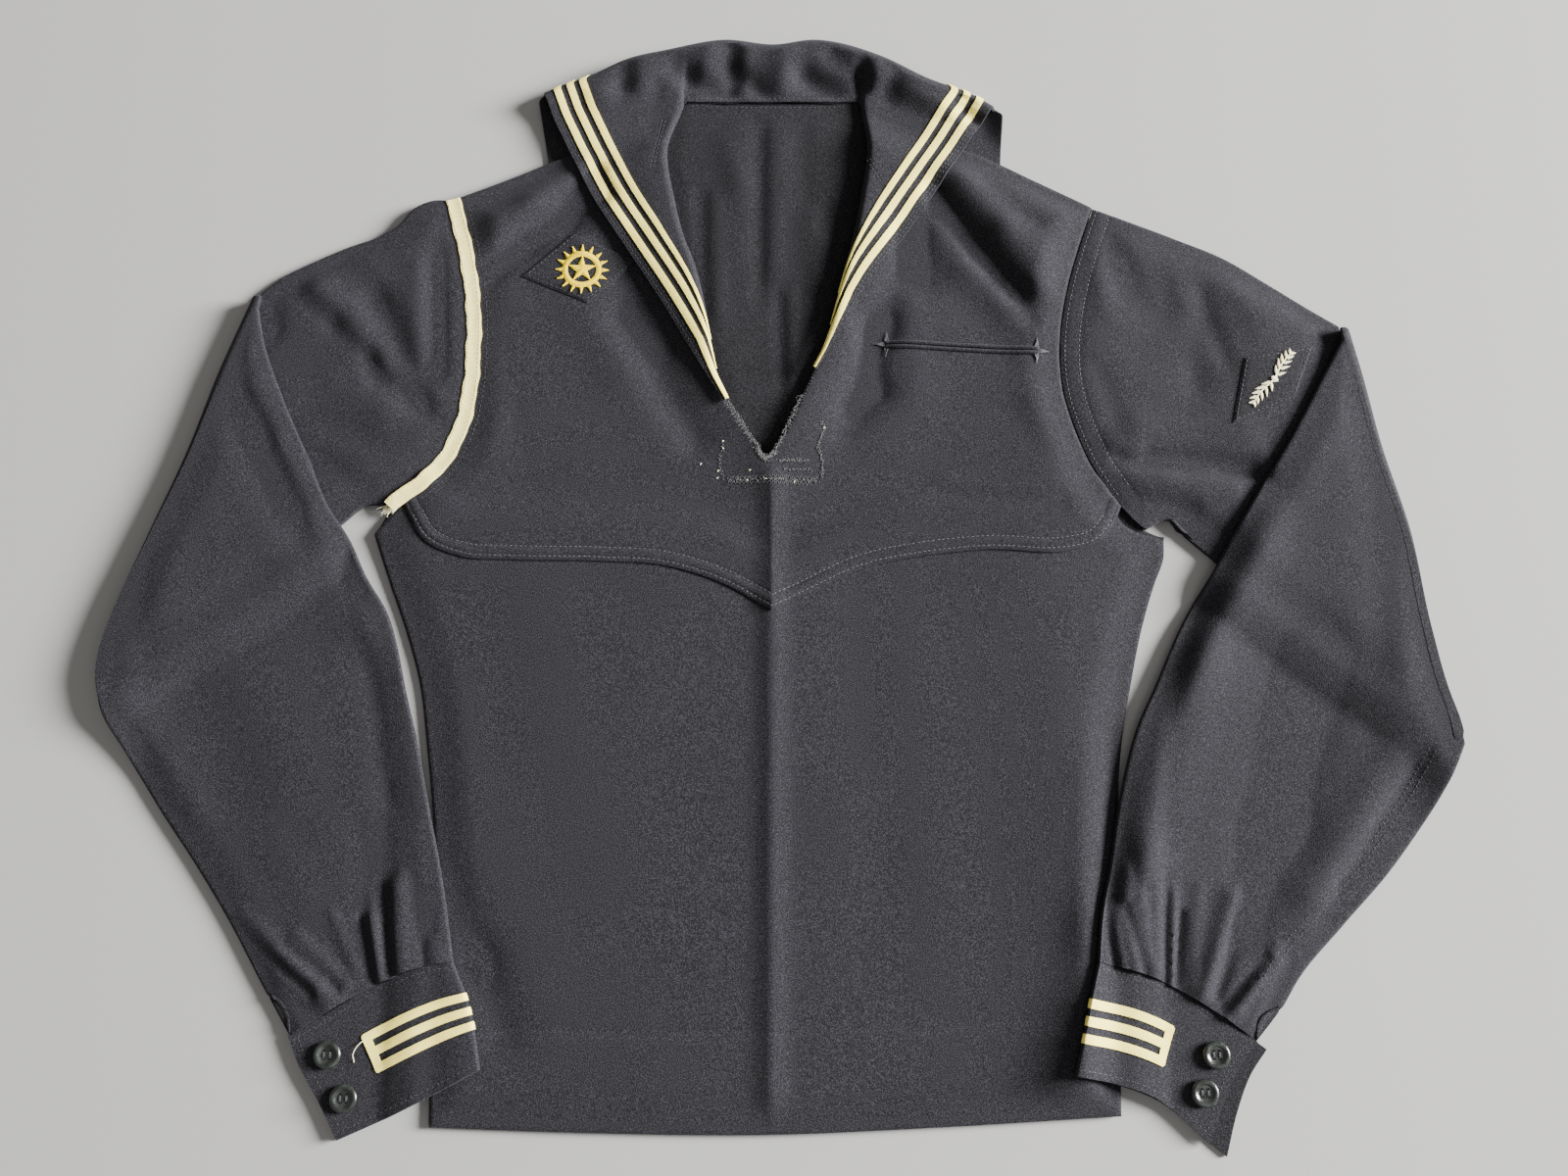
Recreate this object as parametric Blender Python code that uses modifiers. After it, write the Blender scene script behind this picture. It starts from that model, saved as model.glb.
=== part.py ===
"""Sailor's dress jumper, laid flat and face up, with both sleeves folded back over themselves.

+X is to the right of someone looking down at it, +Y is towards the collar and +Z is up from the
surface it lies on, so the wearer's right side is at -X. Tables and sizes are in millimetres.

Every layer is stacked by height functions of (x, y): the collar's flap lies on the surface, the
back on the flap, the front on the back, the yoke on the front, the collar and cuffs on top. Each
sleeve is one flattened tube that turns over at its elbow fold and comes back over itself.
"""

import bmesh
import bpy
import numpy as np

# ---- cloth and trim, mm ----
WOOL = 1.2              # body and sleeves
DOUBLE_WOOL = 1.8       # collar and cuffs, two plies pressed together
PATCH_WOOL = 1.0
TAPE = 0.9
SEAM = 0.3              # space left between pieces that are sewn together
TAPE_GAP = 0.42         # space between the collar and its tapes
TRIM_GAP = 0.6          # space between a panel and the trim sewn on it
LAYER_GAP = 0.6         # space between layers that lie on each other
HEM_DEPTH = 55.0        # hem turned up inside the lower front
HEM_EXTRA = 0.8

# ---- tape rows, mm ----
TAPE_WIDTH = 5.8        # on the cuffs
TAPE_SPACE = 3.6
TAPE_ROWS = 3
COLLAR_TAPE_WIDTH = 4.8
COLLAR_TAPE_SPACE = 4.1
TAPE_END_WIDTH = 1.0    # a tape ends where it would be narrower than this
COLLAR_MARGIN = 6.4     # collar edge to the first tape
MARGIN_SHARE = 0.42     # the margin's most, as a share of the collar's width
SHOULDER_TAPE_WIDTH = 9.5
CUFF_TAPE_MARGIN = 20.0  # cuff seam to the first tape
CUFF_TAPE_START = 40.0   # outer end of the cuff to the bar that joins the rows

# ---- heights, mm ----
TUBE_HEIGHT = 4.4       # flattened sleeve, two walls and the air between them
ARMHOLE_HEIGHT = 3.0    # the same where the sleeve meets the body
CUFF_HEIGHT = 4.8
PANEL_LOFT = 2.0        # how far the front stands off the back away from its edges
SLEEVE_LOFT = 1.6
V_RIDGE = 3.4           # the yoke's cut edge stands up along the neck slash
LAPEL_LIFT = 0.8        # the lapels stand off the yoke from y = 90 upwards
LAPEL_LIFT_START = 90.0
LAPEL_LIFT_STEP = 60.0
ROLL_RADIUS = 8.0       # the collar's turn beyond the shoulders
ROLL_RADIUS_AT_EDGE = 6.0
ROLL_HALF_WIDTH = 150.0
ROLL_TAPER = 90.0
CREST_SHARE = 0.68      # share of the collar's sideways reach that it has on top of its turn
FLAP_CURL = 5.0         # the flap's sides curl up beside the turn
FLAP_CURL_WIDTH = 6.0
FLAP_CURL_LENGTH = 26.0
FLAP_SLOPE = 120.0      # length over which the back rises on to the collar's flap
REST_GAP = 0.7          # space under cloth that lies on other cloth
TURN_ANGLE = 60.0       # degrees: where a tube's edge starts to turn under

# ---- lengths over which heights change, mm ----
PANEL_EDGE = 26.0       # from a panel's edge to its full loft
SLASH_EDGE = 26.0       # width of the ridge along the neck slash
LAP_START = 12.0        # the yoke steps down off the lower front from here
LAP_STEP = 24.0
OFF_BODY_START = 32.0   # a sleeve starts to rise this far outside the body's outline
OFF_BODY_STEP = 26.0
OFF_SLEEVE_START = 34.0
OFF_SLEEVE_STEP = 28.0
OFF_ARMHOLE = 90.0      # from the armhole to where the sleeve lies on the surface
ARMHOLE_EASE = 45.0     # from the armhole to the sleeve's full height
UPPER_EDGE = 24.0       # from the edge of a sleeve's first length to its full loft
LOWER_EDGE = 22.0       # the same for its second length
# shares of the length from the elbow fold to the cuff
SETTLE_SHARE = 0.3      # the sleeve lies flat on what is beneath from here
PLEAT_FROM = 0.8
PLEAT_FULL = 0.9

# ---- buttons, mm ----
BUTTON_RADIUS = 8.0
BUTTON_THICK = 3.0
BUTTON_WELL = 1.1
BUTTON_HOLE_RADIUS = 1.0
BUTTON_HOLE_PITCH = 3.6

# ---- body outline, seen from above: x, y ----
HEM = [(-199, -342), (-108, -345), (-4, -346), (94, -342), (198, -336)]
SIDE_RIGHT = [(-199, -342), (-202, -260), (-205, -180), (-213, -120), (-219, -85), (-230, -50),
              (-241, -22), (-248, -3), (-253, 11)]
SIDE_LEFT = [(198, -336), (201, -260), (204, -178), (210, -120), (218, -82), (226, -50),
             (236, -20), (242, -5), (243, 9)]
# armhole seams from the shoulder tip to the armpit: the yoke ends on row 9, the sleeve on row 10
ARMHOLE_RIGHT = [(-215, 241), (-207, 214), (-201, 187), (-197, 159), (-196, 131), (-197, 105),
                 (-201, 82), (-210, 61), (-223, 45), (-237, 34), (-243, 28), (-253, 11)]
ARMHOLE_LEFT = [(209, 235), (200, 210), (192, 185), (186, 159), (183, 133), (184, 107),
                (190, 82), (199, 58), (208, 42), (217, 29), (232, 14), (243, 9)]
YOKE_ROW = 9
SLEEVE_ROW = 10
SHOULDER_RIGHT = [(-215, 241), (-180, 256), (-143, 273), (-106, 289), (-68, 306)]
SHOULDER_LEFT = [(209, 235), (174, 254), (136, 274), (97, 290), (61, 306)]
NECK = [(-68, 306), (-63, 313), (-35, 314), (-2, 314), (31, 314), (56, 313), (61, 306)]

# ---- yoke: its lower edge from armhole to centre, then the centre line and the neck slash ----
YOKE_EDGE_RIGHT = [(-237, 34), (-230, 21), (-222, 8), (-197, -4), (-167, -6), (-112, -7),
                   (-69, -10), (-32, -22), (-3, -39)]
YOKE_EDGE_LEFT = [(217, 29), (211, 16), (200, 4), (182, -1), (133, 0), (90, -4),
                  (53, -12), (23, -26), (-3, -39)]
SLASH_RIGHT = [(-3, -39), (-4, -4), (-5, 30), (-7, 60), (-17, 74), (-25, 86), (-34, 101), (-41, 119),
               (-48, 148), (-58, 193), (-70, 240), (-75, 280), (-68, 306)]
SLASH_LEFT = [(-3, -39), (-4, -4), (-5, 30), (-7, 60), (1, 69), (7, 81), (16, 101), (25, 121),
              (37, 148), (47, 190), (57, 240), (62, 280), (61, 306)]
SLASH_POINT = 3         # row of the slash's lower end

# ---- lower front: the line between its armpits, and its hidden top edge under the yoke ----
FRONT_MIDDLE = [(-253, 11), (-225, -20), (-167, -33), (-112, -33), (-69, -36), (-32, -48), (-3, -64),
                (23, -52), (53, -38), (90, -30), (133, -26), (182, -28), (220, -16), (243, 9)]
FRONT_TOP = [(-228, 41), (-213, 18), (-197, 8), (-167, 6), (-112, 5), (-69, 2), (-32, -10), (-3, -26),
             (23, -14), (53, 0), (90, 8), (133, 12), (182, 11), (203, 19), (212, 34)]
FRONT_ARMPIT_RIGHT = [(-253, 11), (-246, 20), (-238, 30), (-228, 41)]
FRONT_ARMPIT_LEFT = [(243, 9), (226, 12), (216, 19), (212, 34)]

# ---- collar: outer edges and inner edges from their lower tips up to the shoulders ----
COLLAR_EDGE_RIGHT = [(-34, 97), (-42, 110), (-54, 130), (-76, 168), (-98, 203), (-117, 233), (-136, 270),
                     (-150, 300)]
COLLAR_EDGE_LEFT = [(25.5, 118), (39, 142), (52, 164), (64, 185), (77, 204), (95, 231), (115, 262),
                    (133, 291)]
COLLAR_FOLD_RIGHT = [(-31, 99), (-38, 116), (-42.5, 139), (-46, 160), (-53, 190), (-62, 215), (-68, 240),
                     (-73, 275), (-63, 311)]
COLLAR_FOLD_LEFT = [(23.5, 120), (29, 131), (35, 151), (39, 168), (46, 197), (51, 218), (55, 240),
                    (60, 275), (56, 311)]
# furthest reach of the roll beyond the shoulders, x and y
ROLL_REACH = [(-161, 318), (-144, 326), (-128, 332), (-101, 345), (-75, 351), (-35, 358.6), (-2, 355),
              (25, 358.6), (71, 346), (100, 331), (136, 316), (152, 305)]
FLAP_CORNERS = [(-122, 92), (136, 88)]

# ---- right sleeve, at -X ----
SLEEVE_RIGHT = {
    "overarm": [(-215, 241), (-229, 241), (-240, 236), (-251, 223), (-262, 216), (-283, 208),
                (-304, 198), (-324, 187), (-339, 174)],
    "underarm": [(-243, 28), (-257, 30), (-276, 16), (-340, -34), (-416, -83)],
    "fold": [(-341, 172), (-351, 143), (-358, 122), (-375, 63), (-395, 6), (-410, -39), (-415, -62),
             (-416, -83)],
    "inner": [(-337, 166), (-331, 139), (-316, 101), (-295, 57), (-281, 27), (-268, 8), (-256, -16),
              (-240, -42), (-233, -63), (-227, -87), (-218, -119), (-207, -165), (-201, -189),
              (-195, -217), (-189, -250)],
    "outer": [(-415, -84), (-409, -104), (-395, -126), (-371, -161), (-347, -193), (-324, -226),
              (-303, -260), (-283, -292)],
    "seam": [(-189, -250), (-203, -252), (-239, -266), (-263, -280), (-283, -292)],
    "fold_height": 6.0,
}
# ---- left sleeve, at +X ----
SLEEVE_LEFT = {
    "overarm": [(209, 235), (234, 225), (262, 214), (292, 201), (321, 182), (347, 164), (367, 151)],
    "underarm": [(232, 14), (246, 20), (262, 5), (290, -20), (350, -68), (415, -116)],
    "fold": [(370, 149), (376, 118), (384, 69), (397, 11), (403, -45), (409, -84), (414, -104),
             (416, -119)],
    "inner": [(366, 143), (347, 110), (325, 72), (297, 29), (273, -11), (249, -50), (231, -87),
              (219, -111), (206, -154), (198, -194), (190, -225), (187, -250)],
    "outer": [(415, -122), (405, -143), (366, -197), (335, -229), (306, -260), (296, -275),
              (279, -295)],
    "seam": [(187, -250), (220, -259), (247, -273), (268, -287), (279, -295)],
    "fold_height": 6.4,
}
SLIT_WIDTH = 7.0        # the sleeve's wrist slit, beside the cuff's open end

# ---- cuffs, from the sleeve seam to the wrist edge; the inner end is folded, the outer is open ----
CUFF_RIGHT = {
    "seam": SLEEVE_RIGHT["seam"],
    "wrist": [(-170, -310), (-191, -321), (-217, -334), (-251, -349)],
    "inner": [(-189, -250), (-180, -270), (-175, -286), (-170, -310)],
    "outer": [(-283, -292), (-275, -309), (-264, -326), (-251, -349)],
    "under_shift": (0.0, 0.0),
}
CUFF_LEFT = {
    "seam": SLEEVE_LEFT["seam"],
    "wrist": [(170, -313), (195, -318), (216, -325), (248, -351)],
    "inner": [(187, -250), (182, -268), (177, -288), (170, -313)],
    "outer": [(279, -295), (271, -309), (262, -324), (248, -351)],
    "under_shift": (9.0, -7.0),
}

SHIFT_AT_SEAM = 0.6     # share of the under layer's shift that it has at the sleeve seam

# ---- the largest folds of the cloth: from x, y to x, y, height and half width ----
BODY_FOLDS = [
    (-3, 46, -3, -345, 1.5, 8),         # pressed centre crease
    (122, 250, 182, 164, 2.7, 11),      # shoulder ridge above the left valley
    (152, 262, 207, 180, 3.4, 38),
    (105, 243, 165, 156, -3.6, 9),      # left valley from the collar to the pocket's end
    (92, 218, 148, 142, -1.7, 20),
    (-130, 272, -182, 222, 2.5, 18),    # shoulder ridge above the right valley
    (-121, 263, -190, 188, -3.1, 9),    # right valley
    (-100, 156, -52, 72, -2.7, 12),     # trough beside the right lapel
    (96, 226, 66, 150, -2.5, 12),       # trough beside the left lapel
    (66, 150, 46, 96, -2.9, 12),
    (168, -20, 182, -310, 2.8, 50),     # the front rises towards its left side
]
RIGHT_UPPER_FOLDS = [
    (-262, 168, -230, 108, -2.5, 10),
    (-300, 175, -262, 140, 2.0, 16),
    (-222, 205, -218, 120, -1.7, 8),
    (-310, 95, -255, 90, 1.7, 14),
]
RIGHT_LOWER_FOLDS = [
    (-352, 110, -300, 10, -1.4, 16),
    (-325, 105, -275, 10, 1.7, 12),
    (-300, 0, -250, -55, 1.7, 18),
    (-322, -228, -262, -272, 2.5, 6),
    (-287, -240, -255, -268, 1.7, 5),
    (-238, -226, -232, -258, 2.2, 4),
    (-226, -205, -221, -254, 1.8, 4),
]
LEFT_UPPER_FOLDS = [
    (238, 62, 300, 56, -2.5, 8),
    (232, 78, 296, 76, 2.0, 12),
    (228, 196, 244, 165, -1.4, 14),
    (272, 150, 268, 110, -1.4, 9),
    (250, 38, 290, 36, 1.7, 14),
]
LEFT_LOWER_FOLDS = [
    (392, -140, 330, -225, -2.8, 12),
    (372, -130, 318, -210, 2.5, 14),
    (385, 40, 372, -60, -1.4, 14),
    (300, 20, 262, -60, 2.0, 20),
    (205, -215, 212, -256, 2.2, 5),
    (231, -200, 230, -262, 1.7, 4),
    (268, -212, 247, -268, 2.2, 6),
    (292, -250, 262, -280, 2.0, 5),
]

# ---- trim on the panels: corners and places, x and y ----
CHEST_PATCH = [(-167, 185), (-123.5, 166), (-91, 197), (-134.5, 216)]
SLEEVE_PATCH = [(290, 83), (331, 100), (346, 136), (301, 128)]
POCKET_FROM = (70.5, 138.0)
POCKET_TO = (167.5, 132.6)
WELT_WIDTH = 2.6
WELT_SLIT = 0.5
BUTTONS_RIGHT = [(-259, -302), (-248, -326)]
BUTTONS_LEFT = [(254, -302), (246, -323)]

# ---- mesh density: spaces along and across each piece ----
BODY_COLUMNS = 16
BODY_ROWS = 10
YOKE_COLUMNS = 13
ARMHOLE_SPLIT = 3       # rows for each row of the armhole tables
CENTRE_ROWS = 9         # rows of the yoke below the neck slash
UPPER_SLEEVE_ROWS = 7
LOWER_SLEEVE_ROWS = 13
SLIT_ROWS = 3
TURN_ROWS = 6
LAPEL_ROWS = 18
LAPEL_COLUMNS = 6
NECK_COLUMNS = 6
RISE_ROWS = 3
FLAP_ROWS = 6
FLAP_ROW_POWER = 1.8    # the flap's rows are closer beside the turn
CUFF_ROWS = 4

# ---- colours, linear ----
NAVY_WOOL = (0.060, 0.058, 0.067)
PATCH_NAVY = (0.047, 0.045, 0.053)
CREAM_TAPE = (0.92, 0.88, 0.55)
BUTTON_BLACK = (0.012, 0.015, 0.014)
CLOTH_ROUGHNESS = 0.9
TAPE_ROUGHNESS = 0.85
BUTTON_ROUGHNESS = 0.25


def ease(value):
    """0 below 0, 1 above 1 and smooth between."""
    share = np.clip(value, 0.0, 1.0)
    return share * share * (3.0 - 2.0 * share)


def smooth_value(knots, values, at):
    """Value of a smooth curve through values (rows) at their knots."""
    knots, values, at = np.asarray(knots, float), np.asarray(values, float), np.asarray(at, float)
    slopes = np.gradient(values, knots, axis=0) if len(knots) > 2 else np.zeros_like(values)
    if len(knots) == 2:
        slopes[:] = (values[1] - values[0]) / (knots[1] - knots[0])
    index = np.clip(np.searchsorted(knots, at, side="right") - 1, 0, len(knots) - 2)
    step = knots[index + 1] - knots[index]
    t = np.clip((at - knots[index]) / step, 0.0, 1.0)
    if values.ndim == 2:
        t, step = t[..., None], step[..., None]
    return ((2 * t**3 - 3 * t**2 + 1) * values[index] + (t**3 - 2 * t**2 + t) * step * slopes[index]
            + (3 * t**2 - 2 * t**3) * values[index + 1] + (t**3 - t**2) * step * slopes[index + 1])


def line(points, spaces):
    """Points evenly spaced along the smooth curve through the given points."""
    points = np.asarray(points, float)
    lengths = np.concatenate([[0.0], np.cumsum(np.linalg.norm(np.diff(points, axis=0), axis=1))])
    return smooth_value(lengths, points, np.linspace(0.0, lengths[-1], spaces + 1))


def split(points, times):
    """The same line of points with each space divided evenly."""
    points = np.asarray(points, float)
    steps = np.arange((len(points) - 1) * times + 1) / times
    return np.column_stack([np.interp(steps, np.arange(len(points)), points[:, axis]) for axis in (0, 1)])


def height_table(rows, at):
    """y of a table of x and y, read at x."""
    table = sorted(rows)
    return smooth_value([row[0] for row in table], [row[1] for row in table], at)


def patch(low, high, left, right):
    """Grid of points with the four given borders. low and high run from left to right."""
    low, high, left, right = (np.asarray(border, float) for border in (low, high, left, right))
    v = np.linspace(0.0, 1.0, len(left))[:, None, None]
    u = np.linspace(0.0, 1.0, len(low))[None, :, None]
    sides = (1 - v) * low[None] + v * high[None] + (1 - u) * left[:, None] + u * right[:, None]
    corners = ((1 - u) * (1 - v) * low[0] + u * (1 - v) * low[-1]
               + (1 - u) * v * high[0] + u * v * high[-1])
    return sides - corners


def inside_distance(x, y, outline):
    """Distance to a closed outline, positive inside it."""
    nearest = np.full(np.shape(x), 1e9)
    inside = np.zeros(np.shape(x), bool)
    for (ax, ay), (bx, by) in zip(outline, np.roll(outline, -1, axis=0)):
        along_x, along_y = bx - ax, by - ay
        length = max(along_x**2 + along_y**2, 1e-9)
        share = np.clip(((x - ax) * along_x + (y - ay) * along_y) / length, 0.0, 1.0)
        nearest = np.minimum(nearest, np.hypot(x - ax - share * along_x, y - ay - share * along_y))
        if ay != by:
            crossed = (ay > y) != (by > y)
            inside ^= crossed & (x < ax + (y - ay) * along_x / along_y)
    return np.where(inside, nearest, -nearest)


def folds(x, y, table):
    """Sum of the soft ridges and troughs of a table of folds."""
    total = np.zeros(np.shape(x))
    for ax, ay, bx, by, height, width in table:
        along_x, along_y = bx - ax, by - ay
        share = ((x - ax) * along_x + (y - ay) * along_y) / (along_x**2 + along_y**2)
        share = np.clip(share, 0.0, 1.0)
        distance = np.hypot(x - ax - share * along_x, y - ay - share * along_y)
        total = total + height * np.exp(-(distance / width) ** 2)
    return total


# ---- heights of the stacked layers ----

BODY_OUTLINE = np.vstack([line(HEM, 8)[:-1], line(SIDE_LEFT, 12)[:-1], ARMHOLE_LEFT[::-1],
                          SHOULDER_LEFT[1:-1], NECK[::-1], SHOULDER_RIGHT[::-1][1:-1],
                          ARMHOLE_RIGHT, line(SIDE_RIGHT, 12)[::-1][1:-1]])


def back_low(x, y):
    """Underside of the back: on the surface, but raised where it covers the collar's flap."""
    return (DOUBLE_WOOL + LAYER_GAP) * ease((y - FLAP_CORNERS[1][1] + 8.0 + FLAP_SLOPE) / FLAP_SLOPE)


def line_distance(x, y, points):
    """Distance to an open line of points."""
    nearest = np.full(np.shape(x), 1e9)
    for (ax, ay), (bx, by) in zip(points, points[1:]):
        along_x, along_y = bx - ax, by - ay
        share = ((x - ax) * along_x + (y - ay) * along_y) / (along_x**2 + along_y**2)
        share = np.clip(share, 0.0, 1.0)
        nearest = np.minimum(nearest, np.hypot(x - ax - share * along_x, y - ay - share * along_y))
    return nearest


def front_low(x, y):
    """Underside of the front, standing off the back a little away from its edges."""
    away = ease(inside_distance(x, y, BODY_OUTLINE) / PANEL_EDGE)
    ridge = V_RIDGE * np.exp(-(slash_distance(x, y) / SLASH_EDGE) ** 2)
    stand = np.maximum(PANEL_LOFT + ridge + folds(x, y, BODY_FOLDS), 0.0) * away
    return back_low(x, y) + WOOL + LAYER_GAP + stand


def slash_distance(x, y):
    """Distance to the two cut edges of the neck slash."""
    return np.minimum(line_distance(x, y, SLASH_RIGHT[SLASH_POINT:]),
                      line_distance(x, y, SLASH_LEFT[SLASH_POINT:]))


def front_thickness(x, y):
    """The lower front is thicker where its hem is turned up."""
    hem_edge = height_table(HEM, x)
    return WOOL + HEM_EXTRA * ease((hem_edge + HEM_DEPTH - y) / 3.0)


def front_top(x, y):
    return front_low(x, y) + front_thickness(x, y)


def yoke_low(x, y):
    """Underside of the yoke: on the back, and stepping up over the lower front's top edge."""
    lap = 1.0 - ease((y - height_table(FRONT_TOP, x) - LAP_START) / LAP_STEP)
    return front_low(x, y) + (WOOL + LAYER_GAP) * lap


def yoke_top(x, y):
    return yoke_low(x, y) + WOOL


def body_support(x, y):
    """Height of the body under a sleeve or cuff, easing down to the surface outside it."""
    edge = ease((inside_distance(x, y, BODY_OUTLINE) + OFF_BODY_START) / OFF_BODY_STEP)
    return front_top(x, y) * edge


def resting(support):
    """Underside of cloth that lies on a support, or on the surface where there is none."""
    return support + REST_GAP * ease(support / (2 * REST_GAP))


# ---- sleeves ----

def sleeve_borders(sleeve, armhole):
    """Borders of the two lengths of a sleeve, with the fold moved in by its own height."""
    stations = SLEEVE_ROW
    fold = line(sleeve["fold"], stations)
    chord = fold[-1] - fold[0]
    outward = np.array([chord[1], -chord[0]]) / np.linalg.norm(chord)
    if outward[0] * fold[0][0] < 0:
        outward = -outward
    axis_line = fold - outward * sleeve["fold_height"]
    side = np.sign(fold[0][0])
    start = np.array(armhole[:SLEEVE_ROW + 1], float) + np.array([side * SEAM, 0.0])
    seam = line(sleeve["seam"], stations)
    back_from_seam = np.array([0.0, SEAM])
    upper = {
        "start": start, "end": axis_line,
        "overarm": ended(line(sleeve["overarm"], UPPER_SLEEVE_ROWS), start[0], axis_line[0]),
        "underarm": ended(line(sleeve["underarm"], UPPER_SLEEVE_ROWS), start[-1], axis_line[-1]),
    }
    lower = {
        "start": axis_line, "end": seam + back_from_seam,
        "overarm": ended(line(sleeve["inner"], LOWER_SLEEVE_ROWS), axis_line[0],
                         seam[0] + back_from_seam),
        "underarm": ended(line(sleeve["outer"], LOWER_SLEEVE_ROWS), axis_line[-1],
                          seam[-1] + back_from_seam),
    }
    return upper, lower, outward


def ended(points, first, last):
    """A border with its two ends moved to the corners."""
    points = points.copy()
    points[0], points[-1] = first, last
    return points


def border_loop(borders):
    return np.vstack([borders["start"], borders["underarm"][1:], borders["end"][::-1][1:],
                      borders["overarm"][::-1][1:-1]])


def ring(top, under, top_z, under_z, opened=0.0):
    """One section of a flattened tube, from its outer edge over the top, round and back under.

    top and under are the stations from the inner edge to the outer edge. opened parts the tube's
    outer edge: 0 leaves it closed and 1 leaves two separate free edges.
    """
    points = []
    height = (top_z[0] - under_z[0]) / 2
    middle = (top_z[0] + under_z[0]) / 2
    outer_height = (top_z[-1] - under_z[-1]) / 2
    outer_middle = (top_z[-1] + under_z[-1]) / 2
    out = (top[-1] - top[-2]) / np.linalg.norm(top[-1] - top[-2])
    under_out = (under[-1] - under[-2]) / np.linalg.norm(under[-1] - under[-2])
    inward = (top[0] - top[1]) / np.linalg.norm(top[0] - top[1])
    slope = np.radians(TURN_ANGLE)
    setback = outer_height * (1 - np.cos(slope))
    points.append((*top[-1], outer_middle + opened * outer_height))
    points.append((*(top[-1] - out * setback),
                   outer_middle + outer_height * (opened + (1 - opened) * np.sin(slope))))
    for index in range(len(top) - 2, 0, -1):
        points.append((*top[index], top_z[index]))
    points.append((*(top[0] - inward * height * (1 - np.cos(slope))), middle + height * np.sin(slope)))
    points.append((*top[0], middle))
    points.append((*(top[0] - inward * height * (1 - np.cos(slope))), middle - height * np.sin(slope)))
    for index in range(1, len(under) - 1):
        points.append((*under[index], under_z[index]))
    points.append((*(under[-1] - under_out * setback),
                   outer_middle - outer_height * (opened + (1 - opened) * np.sin(slope))))
    points.append((*under[-1], outer_middle - opened * outer_height))
    return points


def upper_low(x, y, armhole):
    """Underside of the sleeve's first length, level with the back at the armhole."""
    return back_low(x, y) * (1.0 - ease(line_distance(x, y, armhole) / OFF_ARMHOLE))


def upper_top(x, y, armhole, outline, table):
    """Top of the sleeve's first length."""
    away = ease(inside_distance(x, y, outline) / UPPER_EDGE)
    full = ease(line_distance(x, y, armhole) / ARMHOLE_EASE)
    height = ARMHOLE_HEIGHT + (TUBE_HEIGHT - ARMHOLE_HEIGHT) * full
    return upper_low(x, y, armhole) + height + np.maximum(SLEEVE_LOFT + folds(x, y, table), 0.0) * away


def sleeve_rings(sleeve, armhole, upper_folds, lower_folds):
    """Sections from the armhole to the elbow fold, over it, and on to the cuff."""
    upper, lower, outward = sleeve_borders(sleeve, armhole)
    upper_outline = border_loop(upper)
    lower_outline = border_loop(lower)
    axis = sleeve["fold_height"]
    rings = []
    grid = patch(upper["overarm"], upper["underarm"], upper["start"], upper["end"])
    grid = np.swapaxes(grid, 0, 1)
    for stations in grid:
        x, y = stations[:, 0], stations[:, 1]
        top_z = upper_top(x, y, armhole, upper_outline, upper_folds)
        rings.append(ring(stations, stations, top_z, upper_low(x, y, armhole)))
    last = np.array(rings[-1])
    for turn in range(1, TURN_ROWS + 1):
        angle = np.pi * turn / TURN_ROWS
        radius = axis - last[:, 2]
        turned = last.copy()
        turned[:, :2] += outward * (radius * np.sin(angle))[:, None]
        turned[:, 2] = axis - radius * np.cos(angle)
        rings.append([tuple(point) for point in turned])
    # past the fold the layers have changed places, so each section is read from below upwards
    grid = np.swapaxes(patch(lower["overarm"], lower["underarm"], lower["start"], lower["end"]), 0, 1)
    for row in range(1, len(grid)):
        share = row / (len(grid) - 1)
        stations = grid[row]
        x, y = stations[:, 0], stations[:, 1]
        beneath = ease((inside_distance(x, y, upper_outline) + OFF_SLEEVE_START) / OFF_SLEEVE_STEP)
        sleeve_beneath = upper_top(x, y, armhole, upper_outline, upper_folds) * beneath
        support = np.maximum(sleeve_beneath, body_support(x, y))
        settled = ease(share / SETTLE_SHARE)
        low = (2 * axis - TUBE_HEIGHT) * (1 - settled) + resting(support) * settled
        away = ease(inside_distance(x, y, lower_outline) / LOWER_EDGE)
        # the pleats stay full up to the cuff seam
        pleated = ease((share - PLEAT_FROM) / (PLEAT_FULL - PLEAT_FROM))
        away = np.maximum(away, pleated * ease(across_tube(len(stations))))
        high = low + TUBE_HEIGHT + np.maximum(SLEEVE_LOFT + folds(x, y, lower_folds), 0.0) * away
        opened, slit = 0.0, 0.0
        from_end = len(grid) - 1 - row
        if from_end < SLIT_ROWS:
            opened = 1.0
            slit = SLIT_WIDTH * np.sin(np.pi * (from_end + 0.5) / (SLIT_ROWS + 1))
        top = stations.copy()
        top[-1] += (top[-2] - top[-1]) / np.linalg.norm(top[-2] - top[-1]) * slit
        rings.append([tuple(point) for point in
                      turned_over(ring(top, stations, high, low, opened))])
    return rings


def across_tube(count):
    """0 at both edges of a tube and 1 from a tenth of its width inwards."""
    share = np.linspace(0.0, 1.0, count)
    return np.minimum(share, 1 - share) / 0.1


def turned_over(points):
    """The same section read the other way round, to follow the layer that was beneath."""
    return points[::-1]


# ---- building of meshes ----

def material(name, colour, roughness):
    finish = bpy.data.materials.new(name)
    finish.use_nodes = True
    shader = finish.node_tree.nodes["Principled BSDF"]
    shader.inputs["Base Color"].default_value = (*colour, 1.0)
    shader.inputs["Roughness"].default_value = roughness
    shader.inputs["Metallic"].default_value = 0.0
    return finish


def add_piece(collection, name, mesh, colour, roughness):
    piece = bpy.data.objects.new(name, mesh)
    collection.objects.link(piece)
    mesh.materials.append(material(name + "_finish", colour, roughness))
    return piece


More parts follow.
